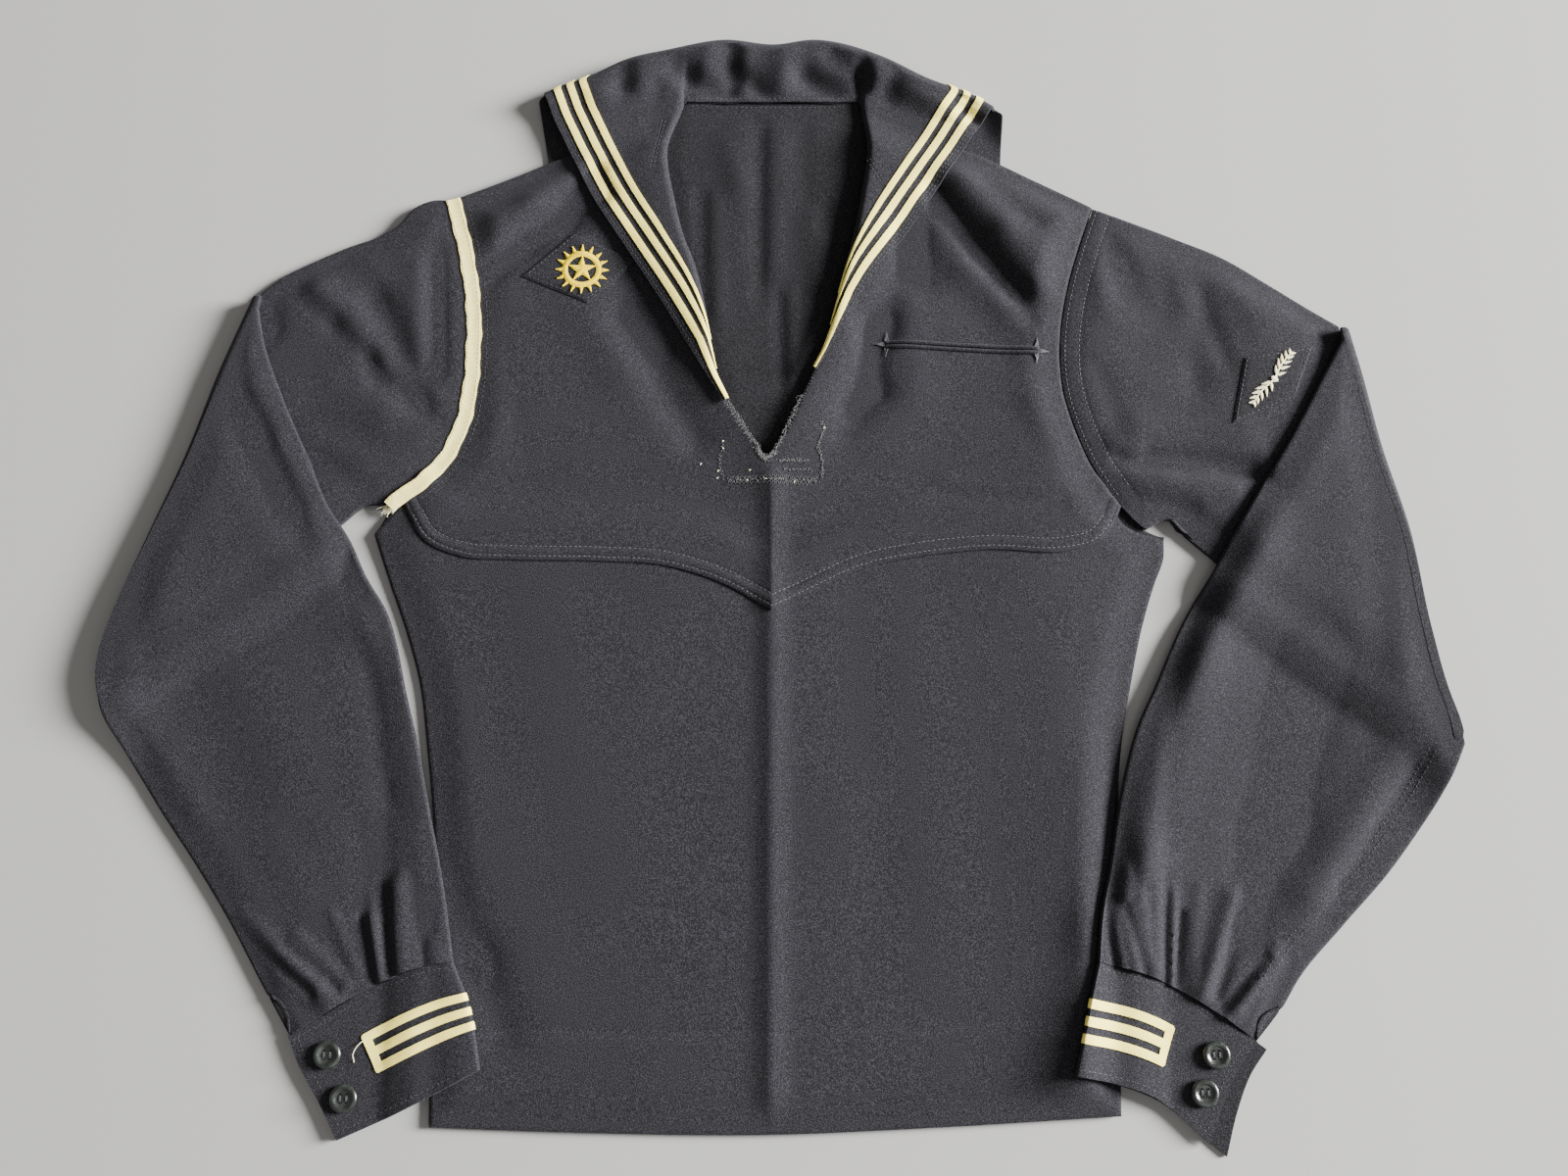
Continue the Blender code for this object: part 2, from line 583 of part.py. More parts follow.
def grid_faces(rows, columns, offset=0):
    """Four-sided faces between neighbouring rows and columns of points."""
    faces = []
    for row in range(rows - 1):
        for column in range(columns - 1):
            corner = offset + row * columns + column
            faces.append((corner, corner + 1, corner + columns + 1, corner + columns))
    return faces


def mesh_of(name, points, faces, upward):
    """Mesh in metres, points that coincide welded, its faces turned up or down at the first face."""
    mesh = bpy.data.meshes.new(name)
    mesh.from_pydata([tuple(0.001 * value for value in point) for point in points], [], faces)
    work = bmesh.new()
    work.from_mesh(mesh)
    bmesh.ops.remove_doubles(work, verts=work.verts, dist=0.00001)
    bmesh.ops.dissolve_degenerate(work, edges=work.edges, dist=0.000001)
    bmesh.ops.recalc_face_normals(work, faces=work.faces)
    work.faces.ensure_lookup_table()
    if (work.faces[0].normal.z > 0) != upward:
        bmesh.ops.reverse_faces(work, faces=work.faces)
    work.to_mesh(mesh)
    work.free()
    return mesh


def thicken_up(mesh, thickness):
    """Turn a sheet's underside into a solid, its top straight above by thickness(x, y)."""
    work = bmesh.new()
    work.from_mesh(mesh)
    grown = bmesh.ops.extrude_face_region(work, geom=work.faces[:])["geom"]
    raised = [item for item in grown if isinstance(item, bmesh.types.BMVert)]
    x = np.array([vertex.co.x * 1000 for vertex in raised])
    y = np.array([vertex.co.y * 1000 for vertex in raised])
    for vertex, rise in zip(raised, np.broadcast_to(thickness(x, y), x.shape)):
        vertex.co.z += 0.001 * float(rise)
    bmesh.ops.recalc_face_normals(work, faces=work.faces)
    work.to_mesh(mesh)
    work.free()


def sheet(collection, name, grids, low, thickness, colour, roughness=CLOTH_ROUGHNESS):
    """Flat piece from grids of (x, y) that share their borders, lying at the height low(x, y)."""
    points, faces = [], []
    for grid in grids:
        rows, columns = grid.shape[:2]
        faces += grid_faces(rows, columns, len(points))
        x, y = grid[..., 0].ravel(), grid[..., 1].ravel()
        points += list(zip(x, y, low(x, y)))
    mesh = mesh_of(name, points, faces, upward=False)
    thicken_up(mesh, thickness)
    return add_piece(collection, name, mesh, colour, roughness)


def shell(collection, name, grid, thickness, outward, colour, roughness=CLOTH_ROUGHNESS, faces=None):
    """Wall of one thickness on a grid of (x, y, z), grown inwards or, with outward, outwards."""
    rows, columns = grid.shape[:2]
    faces = faces or grid_faces(rows, columns)
    mesh = mesh_of(name, grid.reshape(-1, 3), faces, upward=True)
    piece = add_piece(collection, name, mesh, colour, roughness)
    give_wall(piece, thickness, outward)


def give_wall(piece, thickness, outward):
    wall = piece.modifiers.new("wall", "SOLIDIFY")
    wall.thickness = 0.001 * thickness
    wall.offset = 1.0 if outward else -1.0
    wall.use_even_offset = True


def normals_of(grid):
    """Unit normals of a grid of points, up where the grid lies flat and faces up."""
    along = np.gradient(grid, axis=0)
    across = np.gradient(grid, axis=1)
    normal = np.cross(across, along)
    return normal / np.linalg.norm(normal, axis=2, keepdims=True)


def on_grid(grid, row, column):
    """Point of a grid between its rows and columns."""
    row_low = np.clip(int(np.floor(row)), 0, grid.shape[0] - 2)
    column_low = np.clip(int(np.floor(column)), 0, grid.shape[1] - 2)
    v, u = row - row_low, column - column_low
    lower = (1 - u) * grid[row_low, column_low] + u * grid[row_low, column_low + 1]
    upper = (1 - u) * grid[row_low + 1, column_low] + u * grid[row_low + 1, column_low + 1]
    return (1 - v) * lower + v * upper


# ---- the pieces ----

def build_back(parts):
    armpits = line([SIDE_RIGHT[-1], SIDE_LEFT[-1]], BODY_COLUMNS)
    skirt = patch(line(HEM, BODY_COLUMNS), armpits, line(SIDE_RIGHT, BODY_ROWS),
                  line(SIDE_LEFT, BODY_ROWS))
    shoulder = (BODY_COLUMNS - NECK_COLUMNS) // 2
    top = np.vstack([line(SHOULDER_RIGHT, shoulder)[:-1], line(NECK, NECK_COLUMNS)[:-1],
                     line(SHOULDER_LEFT[::-1], shoulder)])
    chest = patch(armpits, top, ARMHOLE_RIGHT[::-1], ARMHOLE_LEFT[::-1])
    sheet(parts, "back", [skirt, chest], back_low, lambda x, y: WOOL, NAVY_WOOL)


def build_front(parts):
    middle = line(FRONT_MIDDLE, BODY_COLUMNS)
    hem = line(HEM, BODY_COLUMNS)
    lower = patch(hem, middle, line(SIDE_RIGHT, BODY_ROWS), line(SIDE_LEFT, BODY_ROWS))
    upper = patch(middle, line(FRONT_TOP, BODY_COLUMNS), FRONT_ARMPIT_RIGHT, FRONT_ARMPIT_LEFT)
    sheet(parts, "front", [lower, upper], front_low, front_thickness, NAVY_WOOL)


def build_yoke(parts):
    halves = []
    for edge, slash, armhole, shoulder in (
            (YOKE_EDGE_RIGHT, SLASH_RIGHT, ARMHOLE_RIGHT, SHOULDER_RIGHT),
            (YOKE_EDGE_LEFT, SLASH_LEFT, ARMHOLE_LEFT, SHOULDER_LEFT)):
        side = split(armhole[:YOKE_ROW + 1][::-1], ARMHOLE_SPLIT)
        centre = line(slash[:SLASH_POINT + 1], CENTRE_ROWS)
        cut = line(slash[SLASH_POINT:], len(side) - 1 - CENTRE_ROWS)
        halves.append(patch(line(edge, YOKE_COLUMNS), line(shoulder, YOKE_COLUMNS), side,
                            np.vstack([centre[:-1], cut])))
    sheet(parts, "front_yoke", halves, yoke_low, lambda x, y: WOOL, NAVY_WOOL)


def collar_grid(edge, fold):
    """Outer face of one lapel from its tip to the shoulder: rows up, columns from edge to fold."""
    outer, inner = line(edge, LAPEL_ROWS), line(fold, LAPEL_ROWS)
    shares = np.linspace(0.0, 1.0, LAPEL_COLUMNS + 1)[None, :, None]
    flat = outer[:, None] * (1 - shares) + inner[:, None] * shares
    return np.dstack([flat, lapel_top(flat[..., 0], flat[..., 1])])


def lapel_top(x, y):
    """Outer face of the collar where it lies on the yoke."""
    lift = LAPEL_LIFT * ease((y - LAPEL_LIFT_START) / LAPEL_LIFT_STEP)
    return yoke_top(x, y) + LAYER_GAP + TRIM_GAP + DOUBLE_WOOL + lift


def roll_radius(x):
    """Radius of the collar's turn, smaller towards its two edges."""
    inwards = ease((ROLL_HALF_WIDTH - np.abs(x)) / ROLL_TAPER)
    return ROLL_RADIUS_AT_EDGE + (ROLL_RADIUS - ROLL_RADIUS_AT_EDGE) * inwards


def collar_roll(level, roll_x, end_x):
    """The collar from its level row at the shoulders, over the roll and back under as the flap."""
    crest_x = level[:, 0] + CREST_SHARE * (roll_x - level[:, 0])
    reach = height_table(ROLL_REACH, crest_x)
    radius = roll_radius(roll_x)
    from_side = np.minimum(roll_x - roll_x[0], roll_x[-1] - roll_x)
    curl = FLAP_CURL * np.exp(-(from_side / FLAP_CURL_WIDTH) ** 2)
    rows = [level]
    for step in range(1, RISE_ROWS + 1):
        share = step / RISE_ROWS
        y = level[:, 1] * (1 - share) + (reach - radius) * share
        x = level[:, 0] + (crest_x - level[:, 0]) * (y - level[:, 1]) / (reach - level[:, 1])
        z = level[:, 2] * (1 - ease(share)) + 2 * radius * ease(share)
        rows.append(np.column_stack([x, y, z]))
    for step in range(1, TURN_ROWS + 1):
        angle = np.pi * step / TURN_ROWS
        y = reach - radius + radius * np.sin(angle)
        under = ease(2 * angle / np.pi - 1)
        if angle < np.pi / 2:
            x = level[:, 0] + (crest_x - level[:, 0]) * (y - level[:, 1]) / (reach - level[:, 1])
        else:
            x = crest_x + (roll_x - crest_x) * under
        rows.append(np.column_stack([x, y, radius + radius * np.cos(angle) + curl * under]))
    end_y = np.interp(end_x, [FLAP_CORNERS[0][0], FLAP_CORNERS[1][0]],
                      [FLAP_CORNERS[0][1], FLAP_CORNERS[1][1]])
    for step in range(1, FLAP_ROWS + 1):
        share = (step / FLAP_ROWS) ** FLAP_ROW_POWER
        x = roll_x * (1 - share) + end_x * share
        y = (reach - radius) * (1 - share) + end_y * share
        flat = ease((reach - radius - y) / FLAP_CURL_LENGTH)
        rows.append(np.column_stack([x, y, curl * (1 - flat)]))
    return np.array(rows)


def collar_parts():
    """The two lapel grids and the grid of the roll and flap, which share their borders."""
    right = collar_grid(COLLAR_EDGE_RIGHT, COLLAR_FOLD_RIGHT)
    left = collar_grid(COLLAR_EDGE_LEFT, COLLAR_FOLD_LEFT)
    neck_x = np.linspace(COLLAR_FOLD_RIGHT[-1][0], COLLAR_FOLD_LEFT[-1][0], NECK_COLUMNS + 1)[1:-1]
    neck_y = np.full(len(neck_x), NECK[3][1] + SEAM)
    neck_z = back_low(neck_x, neck_y) + WOOL + SEAM + DOUBLE_WOOL
    neck = np.column_stack([neck_x, neck_y, neck_z])
    level = np.vstack([right[-1], neck, left[-1][::-1]])
    right_x = np.linspace(ROLL_REACH[0][0], COLLAR_FOLD_RIGHT[-1][0], LAPEL_COLUMNS + 1)
    left_x = np.linspace(COLLAR_FOLD_LEFT[-1][0], ROLL_REACH[-1][0], LAPEL_COLUMNS + 1)
    roll_x = np.concatenate([right_x, neck_x, left_x])
    share = (roll_x - roll_x[0]) / (roll_x[-1] - roll_x[0])
    end_x = FLAP_CORNERS[0][0] * (1 - share) + FLAP_CORNERS[1][0] * share
    return right, left, collar_roll(level, roll_x, end_x)


def build_collar(parts, right, left, roll):
    points, faces = [], []
    for grid, flip in ((right, False), (left, True), (roll, False)):
        part_faces = grid_faces(*grid.shape[:2], len(points))
        faces += [face[::-1] for face in part_faces] if flip else part_faces
        points += [tuple(point) for point in grid.reshape(-1, 3)]
    mesh = mesh_of("collar", points, faces, upward=True)
    give_wall(add_piece(parts, "collar", mesh, NAVY_WOOL, CLOTH_ROUGHNESS), DOUBLE_WOOL, False)


def tape_place(distance, full):
    """Where a row lies across the collar: rows near its inner edge draw together."""
    return distance / (1.0 + (distance / full) ** 4) ** 0.25


def build_collar_tapes(parts, lapel, roll, side):
    """Rows of tape along the collar's edge, from where they become too narrow to past the roll."""
    columns = LAPEL_COLUMNS
    strip = roll[:, :columns + 1] if side == "right" else roll[:, ::-1][:, :columns + 1]
    rows = RISE_ROWS + TURN_ROWS * 2 // 3
    strip = np.vstack([lapel, strip[1:rows + 1]])
    edge_way = np.gradient(strip[:, 0], axis=0)
    edge_way /= np.linalg.norm(edge_way, axis=1, keepdims=True)
    width = np.linalg.norm(strip[:, -1] - strip[:, 0], axis=1)
    row_way = (strip[:, -1] - strip[:, 0]) / width[:, None]
    square = np.linalg.norm(np.cross(edge_way, row_way), axis=1)
    normal = normals_of(strip)
    if side == "left":
        normal = -normal
    for index in range(TAPE_ROWS):
        lines = []
        for row in range(len(strip)):
            full = width[row] * square[row]
            near = min(COLLAR_MARGIN, MARGIN_SHARE * full) + index * (COLLAR_TAPE_WIDTH + COLLAR_TAPE_SPACE)
            near, far = tape_place(near, full), tape_place(near + COLLAR_TAPE_WIDTH, full)
            if far - near < TAPE_END_WIDTH:
                continue
            first, second = near * columns / full, far * columns / full
            pair = []
            for column in (first, (first + second) / 2, second):
                lift = on_grid(normal, row, column) * TAPE_GAP
                pair.append(on_grid(strip, row, column) + lift)
            lines.append(pair)
        grid = np.array(lines)
        if side == "left":
            grid = grid[:, ::-1]
        shell(parts, f"collar_tape_{side}_{index + 1}", grid, TAPE, True, CREAM_TAPE, TAPE_ROUGHNESS)


def cuff_rings(cuff):
    """Sections of a cuff from the sleeve seam to the wrist, open all along its outer end."""
    stations = SLEEVE_ROW
    grid = np.swapaxes(patch(line(cuff["inner"], CUFF_ROWS), line(cuff["outer"], CUFF_ROWS),
                             line(cuff["seam"], stations), line(cuff["wrist"], stations)), 0, 1)
    rings = []
    for row, top in enumerate(grid):
        across = np.linspace(0.0, 1.0, len(top))[:, None]
        share = SHIFT_AT_SEAM + (1.0 - SHIFT_AT_SEAM) * row / CUFF_ROWS
        under = top + np.array(cuff["under_shift"]) * across**2 * share
        low = resting(body_support(top[:, 0], top[:, 1]))
        under_low = resting(body_support(under[:, 0], under[:, 1]))
        rings.append(ring(top, under, low + CUFF_HEIGHT, under_low, 1.0))
    return np.array(rings)


def build_cuff(parts, name, rings):
    shell(parts, name, rings, DOUBLE_WOOL, False, NAVY_WOOL)


def build_cuff_tapes(parts, name, rings):
    """Rows of tape across the cuff, joined by a bar at their outer end and wrapped round the fold."""
    middle = SLEEVE_ROW // 2 + 1
    seam_to_wrist = np.linalg.norm(rings[-1, middle, :2] - rings[0, middle, :2])
    top_loop = rings[CUFF_ROWS // 2, :SLEEVE_ROW + 1]
    lengths = np.concatenate([[0.0], np.cumsum(np.linalg.norm(np.diff(top_loop, axis=0), axis=1))])
    bar = [np.interp(CUFF_TAPE_START + offset, lengths, np.arange(len(lengths)))
           for offset in (0.0, TAPE_WIDTH)]
    columns = bar + [float(index) for index in range(int(bar[1]) + 1, SLEEVE_ROW + 2)]
    edges = [CUFF_TAPE_MARGIN + index * (TAPE_WIDTH + TAPE_SPACE) + side * TAPE_WIDTH
             for index in range(TAPE_ROWS) for side in (0, 1)]
    normal = normals_of(rings)
    if normal[CUFF_ROWS // 2, middle, 2] < 0:
        normal = -normal
    grid = []
    for edge in edges:
        row = CUFF_ROWS * edge / seam_to_wrist
        grid.append([on_grid(rings, row, column) + TRIM_GAP * on_grid(normal, row, column)
                     for column in columns])
    grid = np.array(grid)
    faces = [face for index, face in enumerate(grid_faces(*grid.shape[:2]))
             if (index // (len(columns) - 1)) % 2 == 0 or index % (len(columns) - 1) == 0]
    shell(parts, name, grid, TAPE, True, CREAM_TAPE, TAPE_ROUGHNESS, faces)


def build_sleeve(parts, name, rings):
    shell(parts, name, np.array(rings), WOOL, False, NAVY_WOOL)


def build_shoulder_tape(parts, armhole, sleeve_outline, sleeve_folds):
    """Tape sewn over the right armhole seam, half on the yoke and half on the sleeve."""
    middle = split(armhole[:SLEEVE_ROW + 1], ARMHOLE_SPLIT)
    way = np.gradient(middle, axis=0)
    way /= np.linalg.norm(way, axis=1, keepdims=True)
    aside = np.column_stack([-way[:, 1], way[:, 0]])
    grid = np.stack([middle + aside * offset * SHOULDER_TAPE_WIDTH / 2 for offset in (-1, 0, 1)], 1)
    x, y = grid[..., 0], grid[..., 1]
    sleeve = upper_top(x, y, armhole, sleeve_outline, sleeve_folds)
    z = np.maximum(sleeve, yoke_top(x, y)) + TRIM_GAP
    z[:, 1] = z.max(axis=1)
    shell(parts, "shoulder_tape_right", np.dstack([grid, z]), TAPE, True, CREAM_TAPE, TAPE_ROUGHNESS)


def build_patch(parts, name, corners, top):
    """Lozenge of cloth that carries an embroidered badge."""
    corner = [np.array(point, float) for point in corners]
    sides = 5
    grid = patch(line([corner[0], corner[1]], sides), line([corner[3], corner[2]], sides),
                 line([corner[0], corner[3]], sides), line([corner[1], corner[2]], sides))
    sheet(parts, name, [grid], lambda x, y: top(x, y) + TRIM_GAP, lambda x, y: PATCH_WOOL,
          PATCH_NAVY)


def build_pocket(parts):
    """Two narrow welts on either side of the pocket's slit."""
    start, end = np.array(POCKET_FROM), np.array(POCKET_TO)
    way = (end - start) / np.linalg.norm(end - start)
    up = np.array([-way[1], way[0]])
    for name, side in (("pocket_welt_upper", 1), ("pocket_welt_lower", -1)):
        near = up * side * WELT_SLIT / 2
        far = up * side * (WELT_SLIT / 2 + WELT_WIDTH)
        spaces = 12
        grid = patch(line([start + near, end + near], spaces), line([start + far, end + far], spaces),
                     [start + near, start + far], [end + near, end + far])
        sheet(parts, name, [grid], lambda x, y: yoke_top(x, y) + TRIM_GAP, lambda x, y: PATCH_WOOL,
              NAVY_WOOL)


def build_button(parts, cutters, name, place, height):
    """Four-hole button with a raised rim, turned from a profile."""
    radius, thick, well = BUTTON_RADIUS, BUTTON_THICK, BUTTON_WELL
    # x and z round the button's half section, from the well over the rim to the underside
    profile = [(0.0, thick - well), (0.55 * radius, thick - well), (0.72 * radius, thick),
               (0.88 * radius, thick), (radius, 0.55 * thick), (0.8 * radius, 0.0), (0.0, 0.0)]
    mesh = bpy.data.meshes.new(name)
    mesh.from_pydata([(0.001 * x, 0.0, 0.001 * z) for x, z in profile],
                     [(index, index + 1) for index in range(len(profile) - 1)], [])
    piece = add_piece(parts, name, mesh, BUTTON_BLACK, BUTTON_ROUGHNESS)
    piece.location = (0.001 * place[0], 0.001 * place[1], 0.001 * height)
    turned = piece.modifiers.new("turned", "SCREW")
    turned.steps = turned.render_steps = 20
    turned.use_merge_vertices = True
    turned.merge_threshold = 0.00001
    turned.use_normal_calculate = True
    drills = bpy.data.meshes.new(name + "_drills")
    work = bmesh.new()
    for x in (-1, 1):
        for y in (-1, 1):
            made = bmesh.ops.create_cone(work, cap_ends=True, segments=8, depth=0.001 * 3 * thick,
                                         radius1=0.001 * BUTTON_HOLE_RADIUS,
                                         radius2=0.001 * BUTTON_HOLE_RADIUS)
            bmesh.ops.translate(work, verts=made["verts"], vec=(
                0.001 * x * BUTTON_HOLE_PITCH / 2, 0.001 * y * BUTTON_HOLE_PITCH / 2,
                0.001 * thick / 2))
    work.to_mesh(drills)
    work.free()
    drill = bpy.data.objects.new(name + "_drills", drills)
    cutters.objects.link(drill)
    drill.location = piece.location
    drill.hide_render = True
    drill.display_type = "WIRE"
    holes = piece.modifiers.new("holes", "BOOLEAN")
    holes.object = drill
    holes.operation = "DIFFERENCE"


def build():
    for existing in list(bpy.data.objects):
        bpy.data.objects.remove(existing, do_unlink=True)
    parts = bpy.data.collections.new("sailor_jumper")
    cutters = bpy.data.collections.new("cutters")
    bpy.context.scene.collection.children.link(parts)
    bpy.context.scene.collection.children.link(cutters)

    build_back(parts)
    build_front(parts)
    build_yoke(parts)

    right, left, roll = collar_parts()
    build_collar(parts, right, left, roll)
    build_collar_tapes(parts, right, roll, "right")
    build_collar_tapes(parts, left, roll, "left")

    build_sleeve(parts, "right_sleeve",
                 sleeve_rings(SLEEVE_RIGHT, ARMHOLE_RIGHT, RIGHT_UPPER_FOLDS, RIGHT_LOWER_FOLDS))
    build_sleeve(parts, "left_sleeve",
                 sleeve_rings(SLEEVE_LEFT, ARMHOLE_LEFT, LEFT_UPPER_FOLDS, LEFT_LOWER_FOLDS))

    for side, cuff, buttons in (("right", CUFF_RIGHT, BUTTONS_RIGHT), ("left", CUFF_LEFT, BUTTONS_LEFT)):
        rings = cuff_rings(cuff)
        build_cuff(parts, f"{side}_cuff", rings)
        build_cuff_tapes(parts, f"{side}_cuff_tape", rings)
        for index, place in enumerate(buttons):
            x, y = np.array([place[0]], float), np.array([place[1]], float)
            height = float(resting(body_support(x, y))[0]) + CUFF_HEIGHT + TRIM_GAP
            build_button(parts, cutters, f"{side}_cuff_button_{index + 1}", place, height)

    right_upper = border_loop(sleeve_borders(SLEEVE_RIGHT, ARMHOLE_RIGHT)[0])
    left_upper = border_loop(sleeve_borders(SLEEVE_LEFT, ARMHOLE_LEFT)[0])
    build_shoulder_tape(parts, ARMHOLE_RIGHT, right_upper, RIGHT_UPPER_FOLDS)
    build_patch(parts, "chest_patch", CHEST_PATCH, yoke_top)
    build_patch(parts, "sleeve_patch", SLEEVE_PATCH,
                lambda x, y: upper_top(x, y, ARMHOLE_LEFT, left_upper, LEFT_UPPER_FOLDS))
    build_pocket(parts)


build()
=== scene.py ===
"""Sailor's dress jumper laid flat: fine cloth surfaces, trim, sewing, finishes, lights and camera.

The jumper's tables and layer heights are in millimetres, in the same frame as its solids: +X is to
the right of someone looking down at it and +Y is towards the collar. Each cloth is a thin shell on
its solid's form, with more points, more folds and a rounded edge.
"""

import math

import bmesh
import bpy
import numpy as np
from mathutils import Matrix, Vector


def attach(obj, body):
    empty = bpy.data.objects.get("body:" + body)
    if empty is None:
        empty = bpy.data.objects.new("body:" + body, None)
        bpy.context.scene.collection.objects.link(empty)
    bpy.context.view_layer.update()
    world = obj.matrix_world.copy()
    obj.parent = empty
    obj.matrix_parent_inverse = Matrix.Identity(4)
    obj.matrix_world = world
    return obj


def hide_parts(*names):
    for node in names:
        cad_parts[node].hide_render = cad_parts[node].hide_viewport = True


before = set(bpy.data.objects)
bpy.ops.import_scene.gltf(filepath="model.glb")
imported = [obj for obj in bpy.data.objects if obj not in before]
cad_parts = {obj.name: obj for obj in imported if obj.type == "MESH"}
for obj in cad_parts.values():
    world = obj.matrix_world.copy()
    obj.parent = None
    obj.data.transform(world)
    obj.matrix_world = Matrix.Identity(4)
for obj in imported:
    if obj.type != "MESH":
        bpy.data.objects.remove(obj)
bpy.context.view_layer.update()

# ---- cloth and trim, mm ----
WOOL = 1.2              # body and sleeves
DOUBLE_WOOL = 1.8       # collar and cuffs, two plies pressed together
PATCH_WOOL = 1.0
SEAM = 0.3              # space left between pieces that are sewn together
TRIM_GAP = 0.6          # space between a panel and the trim sewn on it
LAYER_GAP = 0.6         # space between layers that lie on each other
HEM_DEPTH = 55.0        # hem turned up inside the lower front
HEM_EXTRA = 0.8         # the front is thicker by this over its hem
HEM_STEP = 3.0          # and gains it over this distance
TAPE_WALL = 0.5
WELT_WALL = 0.4
FELT_RISE = 1.25        # top of a badge patch above the cloth that it is sewn on

# ---- tape rows, mm ----
TAPE_WIDTH = 5.1        # on the cuffs
TAPE_SPACE = 4.3
TAPE_ROWS = 3
COLLAR_TAPE_WIDTH = 4.8
COLLAR_TAPE_SPACE = 4.1
TAPE_END_WIDTH = 0.22   # towards the collar's tips the rows run out at this width
COLLAR_MARGIN = 6.4     # collar edge to the first tape
MARGIN_SHARE = 0.42     # the margin's most, as a share of the collar's width
WIDTH_EVENING = 13      # rows of the collar over which its width is evened out
SHOULDER_TAPE_WIDTH = 9.5
TAPE_STEPS = (0.0, 0.12, 0.5, 0.88, 1.0)  # points across a tape, as shares of its width
TAPE_LIFT = 0.10        # a tape's edges stand off the cloth this far, and its middle higher
COLLAR_TAPE_CROWN = 0.16
CUFF_TAPE_CROWN = 0.14
BAR_CORNERS = (1.6, 0.6, 0.0)             # how far the bar's ends are drawn in, point by point
CUFF_TAPE_MARGIN = {"right": 21.5, "left": 20.0}  # cuff seam to the first tape
CUFF_TAPE_START = {"right": 37.0, "left": 41.0}   # outer end of the cuff to the bar across the rows

# ---- heights, mm ----
TUBE_HEIGHT = 4.4       # flattened sleeve, two walls and the air between them
ARMHOLE_HEIGHT = 3.0    # the same where the sleeve meets the body
CUFF_HEIGHT = 4.8
PANEL_LOFT = 2.0        # how far the front stands off the back away from its edges
SLEEVE_LOFT = 1.6
BACK_LOFT = 0.9         # of the back's inner face, where it shows in the neck
FOLD_DEPTH = 1.4        # the fold tables' heights are times this
V_RIDGE = 3.4           # the yoke's cut edge stands up along the neck slash
LAPEL_LIFT = 0.8        # the lapels stand off the yoke from y = 90 upwards
LAPEL_LIFT_START = 90.0
LAPEL_LIFT_STEP = 60.0
LAPEL_FOLD_SHARE = 0.5  # the collar's folds on the lapels, and on the way up to its turn
ROLL_FOLD_SHARE = 1.7
ROLL_RADIUS = 8.0       # the collar's turn beyond the shoulders
ROLL_RADIUS_AT_EDGE = 6.0
ROLL_HALF_WIDTH = 150.0
ROLL_TAPER = 90.0
LAPEL_ROLL = 4.5        # radius of the lapels' inner edge, where they roll over into the neck
CREST_SHARE = 0.68      # share of the collar's sideways reach that it has on top of its turn
FLAP_CURL = 5.0         # the flap's sides curl up beside the turn
FLAP_CURL_WIDTH = 6.0
FLAP_CURL_LENGTH = 30.0
FLAP_MARGIN = 8.0       # the back is fully raised from this far below the flap's edge
FLAP_SLOPE = 120.0      # length over which the back rises on to the collar's flap
REST_GAP = 0.7          # space under cloth that lies on other cloth

# ---- lengths over which heights change, mm ----
PANEL_EDGE = 26.0       # from a panel's edge to its full loft
SLASH_EDGE = 26.0       # width of the ridge along the neck slash
LAP_START = 12.0        # the yoke steps down off the lower front from here
LAP_STEP = 24.0
OFF_BODY_START = 32.0   # a sleeve starts to rise this far outside the body's outline
OFF_BODY_STEP = 26.0
OFF_SLEEVE_START = 34.0
OFF_SLEEVE_STEP = 28.0
OFF_ARMHOLE = 90.0      # from the armhole to where the sleeve lies on the surface
ARMHOLE_EASE = 45.0     # from the armhole to the sleeve's full height
UPPER_EDGE = 24.0       # from the edge of a sleeve's first length to its full loft
LOWER_EDGE = 22.0       # the same for its second length
NECK_EDGE = 12.0        # from the neck opening's edge to the back's full loft
# shares of the length from the elbow fold to the cuff
SETTLE_SHARE = 0.3      # the sleeve lies flat on what is beneath from here
PLEAT_FROM = 0.8
PLEAT_FULL = 0.9

# ---- buttons, mm ----
BUTTON_RADIUS = 8.0
BUTTON_THICK = 3.0
BUTTON_WELL = 1.1
BUTTON_HOLE_RADIUS = 1.0
BUTTON_HOLE_PITCH = 3.6
BUTTON_EDGE_ANGLE = math.radians(35.0)  # sharper edges than this stay sharp
CLOTH_EDGE_ANGLE = math.radians(48.0)

# ---- body outline, seen from above: x, y ----
HEM = [(-199, -342), (-108, -345), (-4, -346), (94, -342), (198, -336)]
SIDE_RIGHT = [(-199, -342), (-202, -260), (-205, -180), (-213, -120), (-219, -85), (-230, -50),
              (-241, -22), (-248, -3), (-253, 11)]
SIDE_LEFT = [(198, -336), (201, -260), (204, -178), (210, -120), (218, -82), (226, -50),
             (236, -20), (242, -5), (243, 9)]
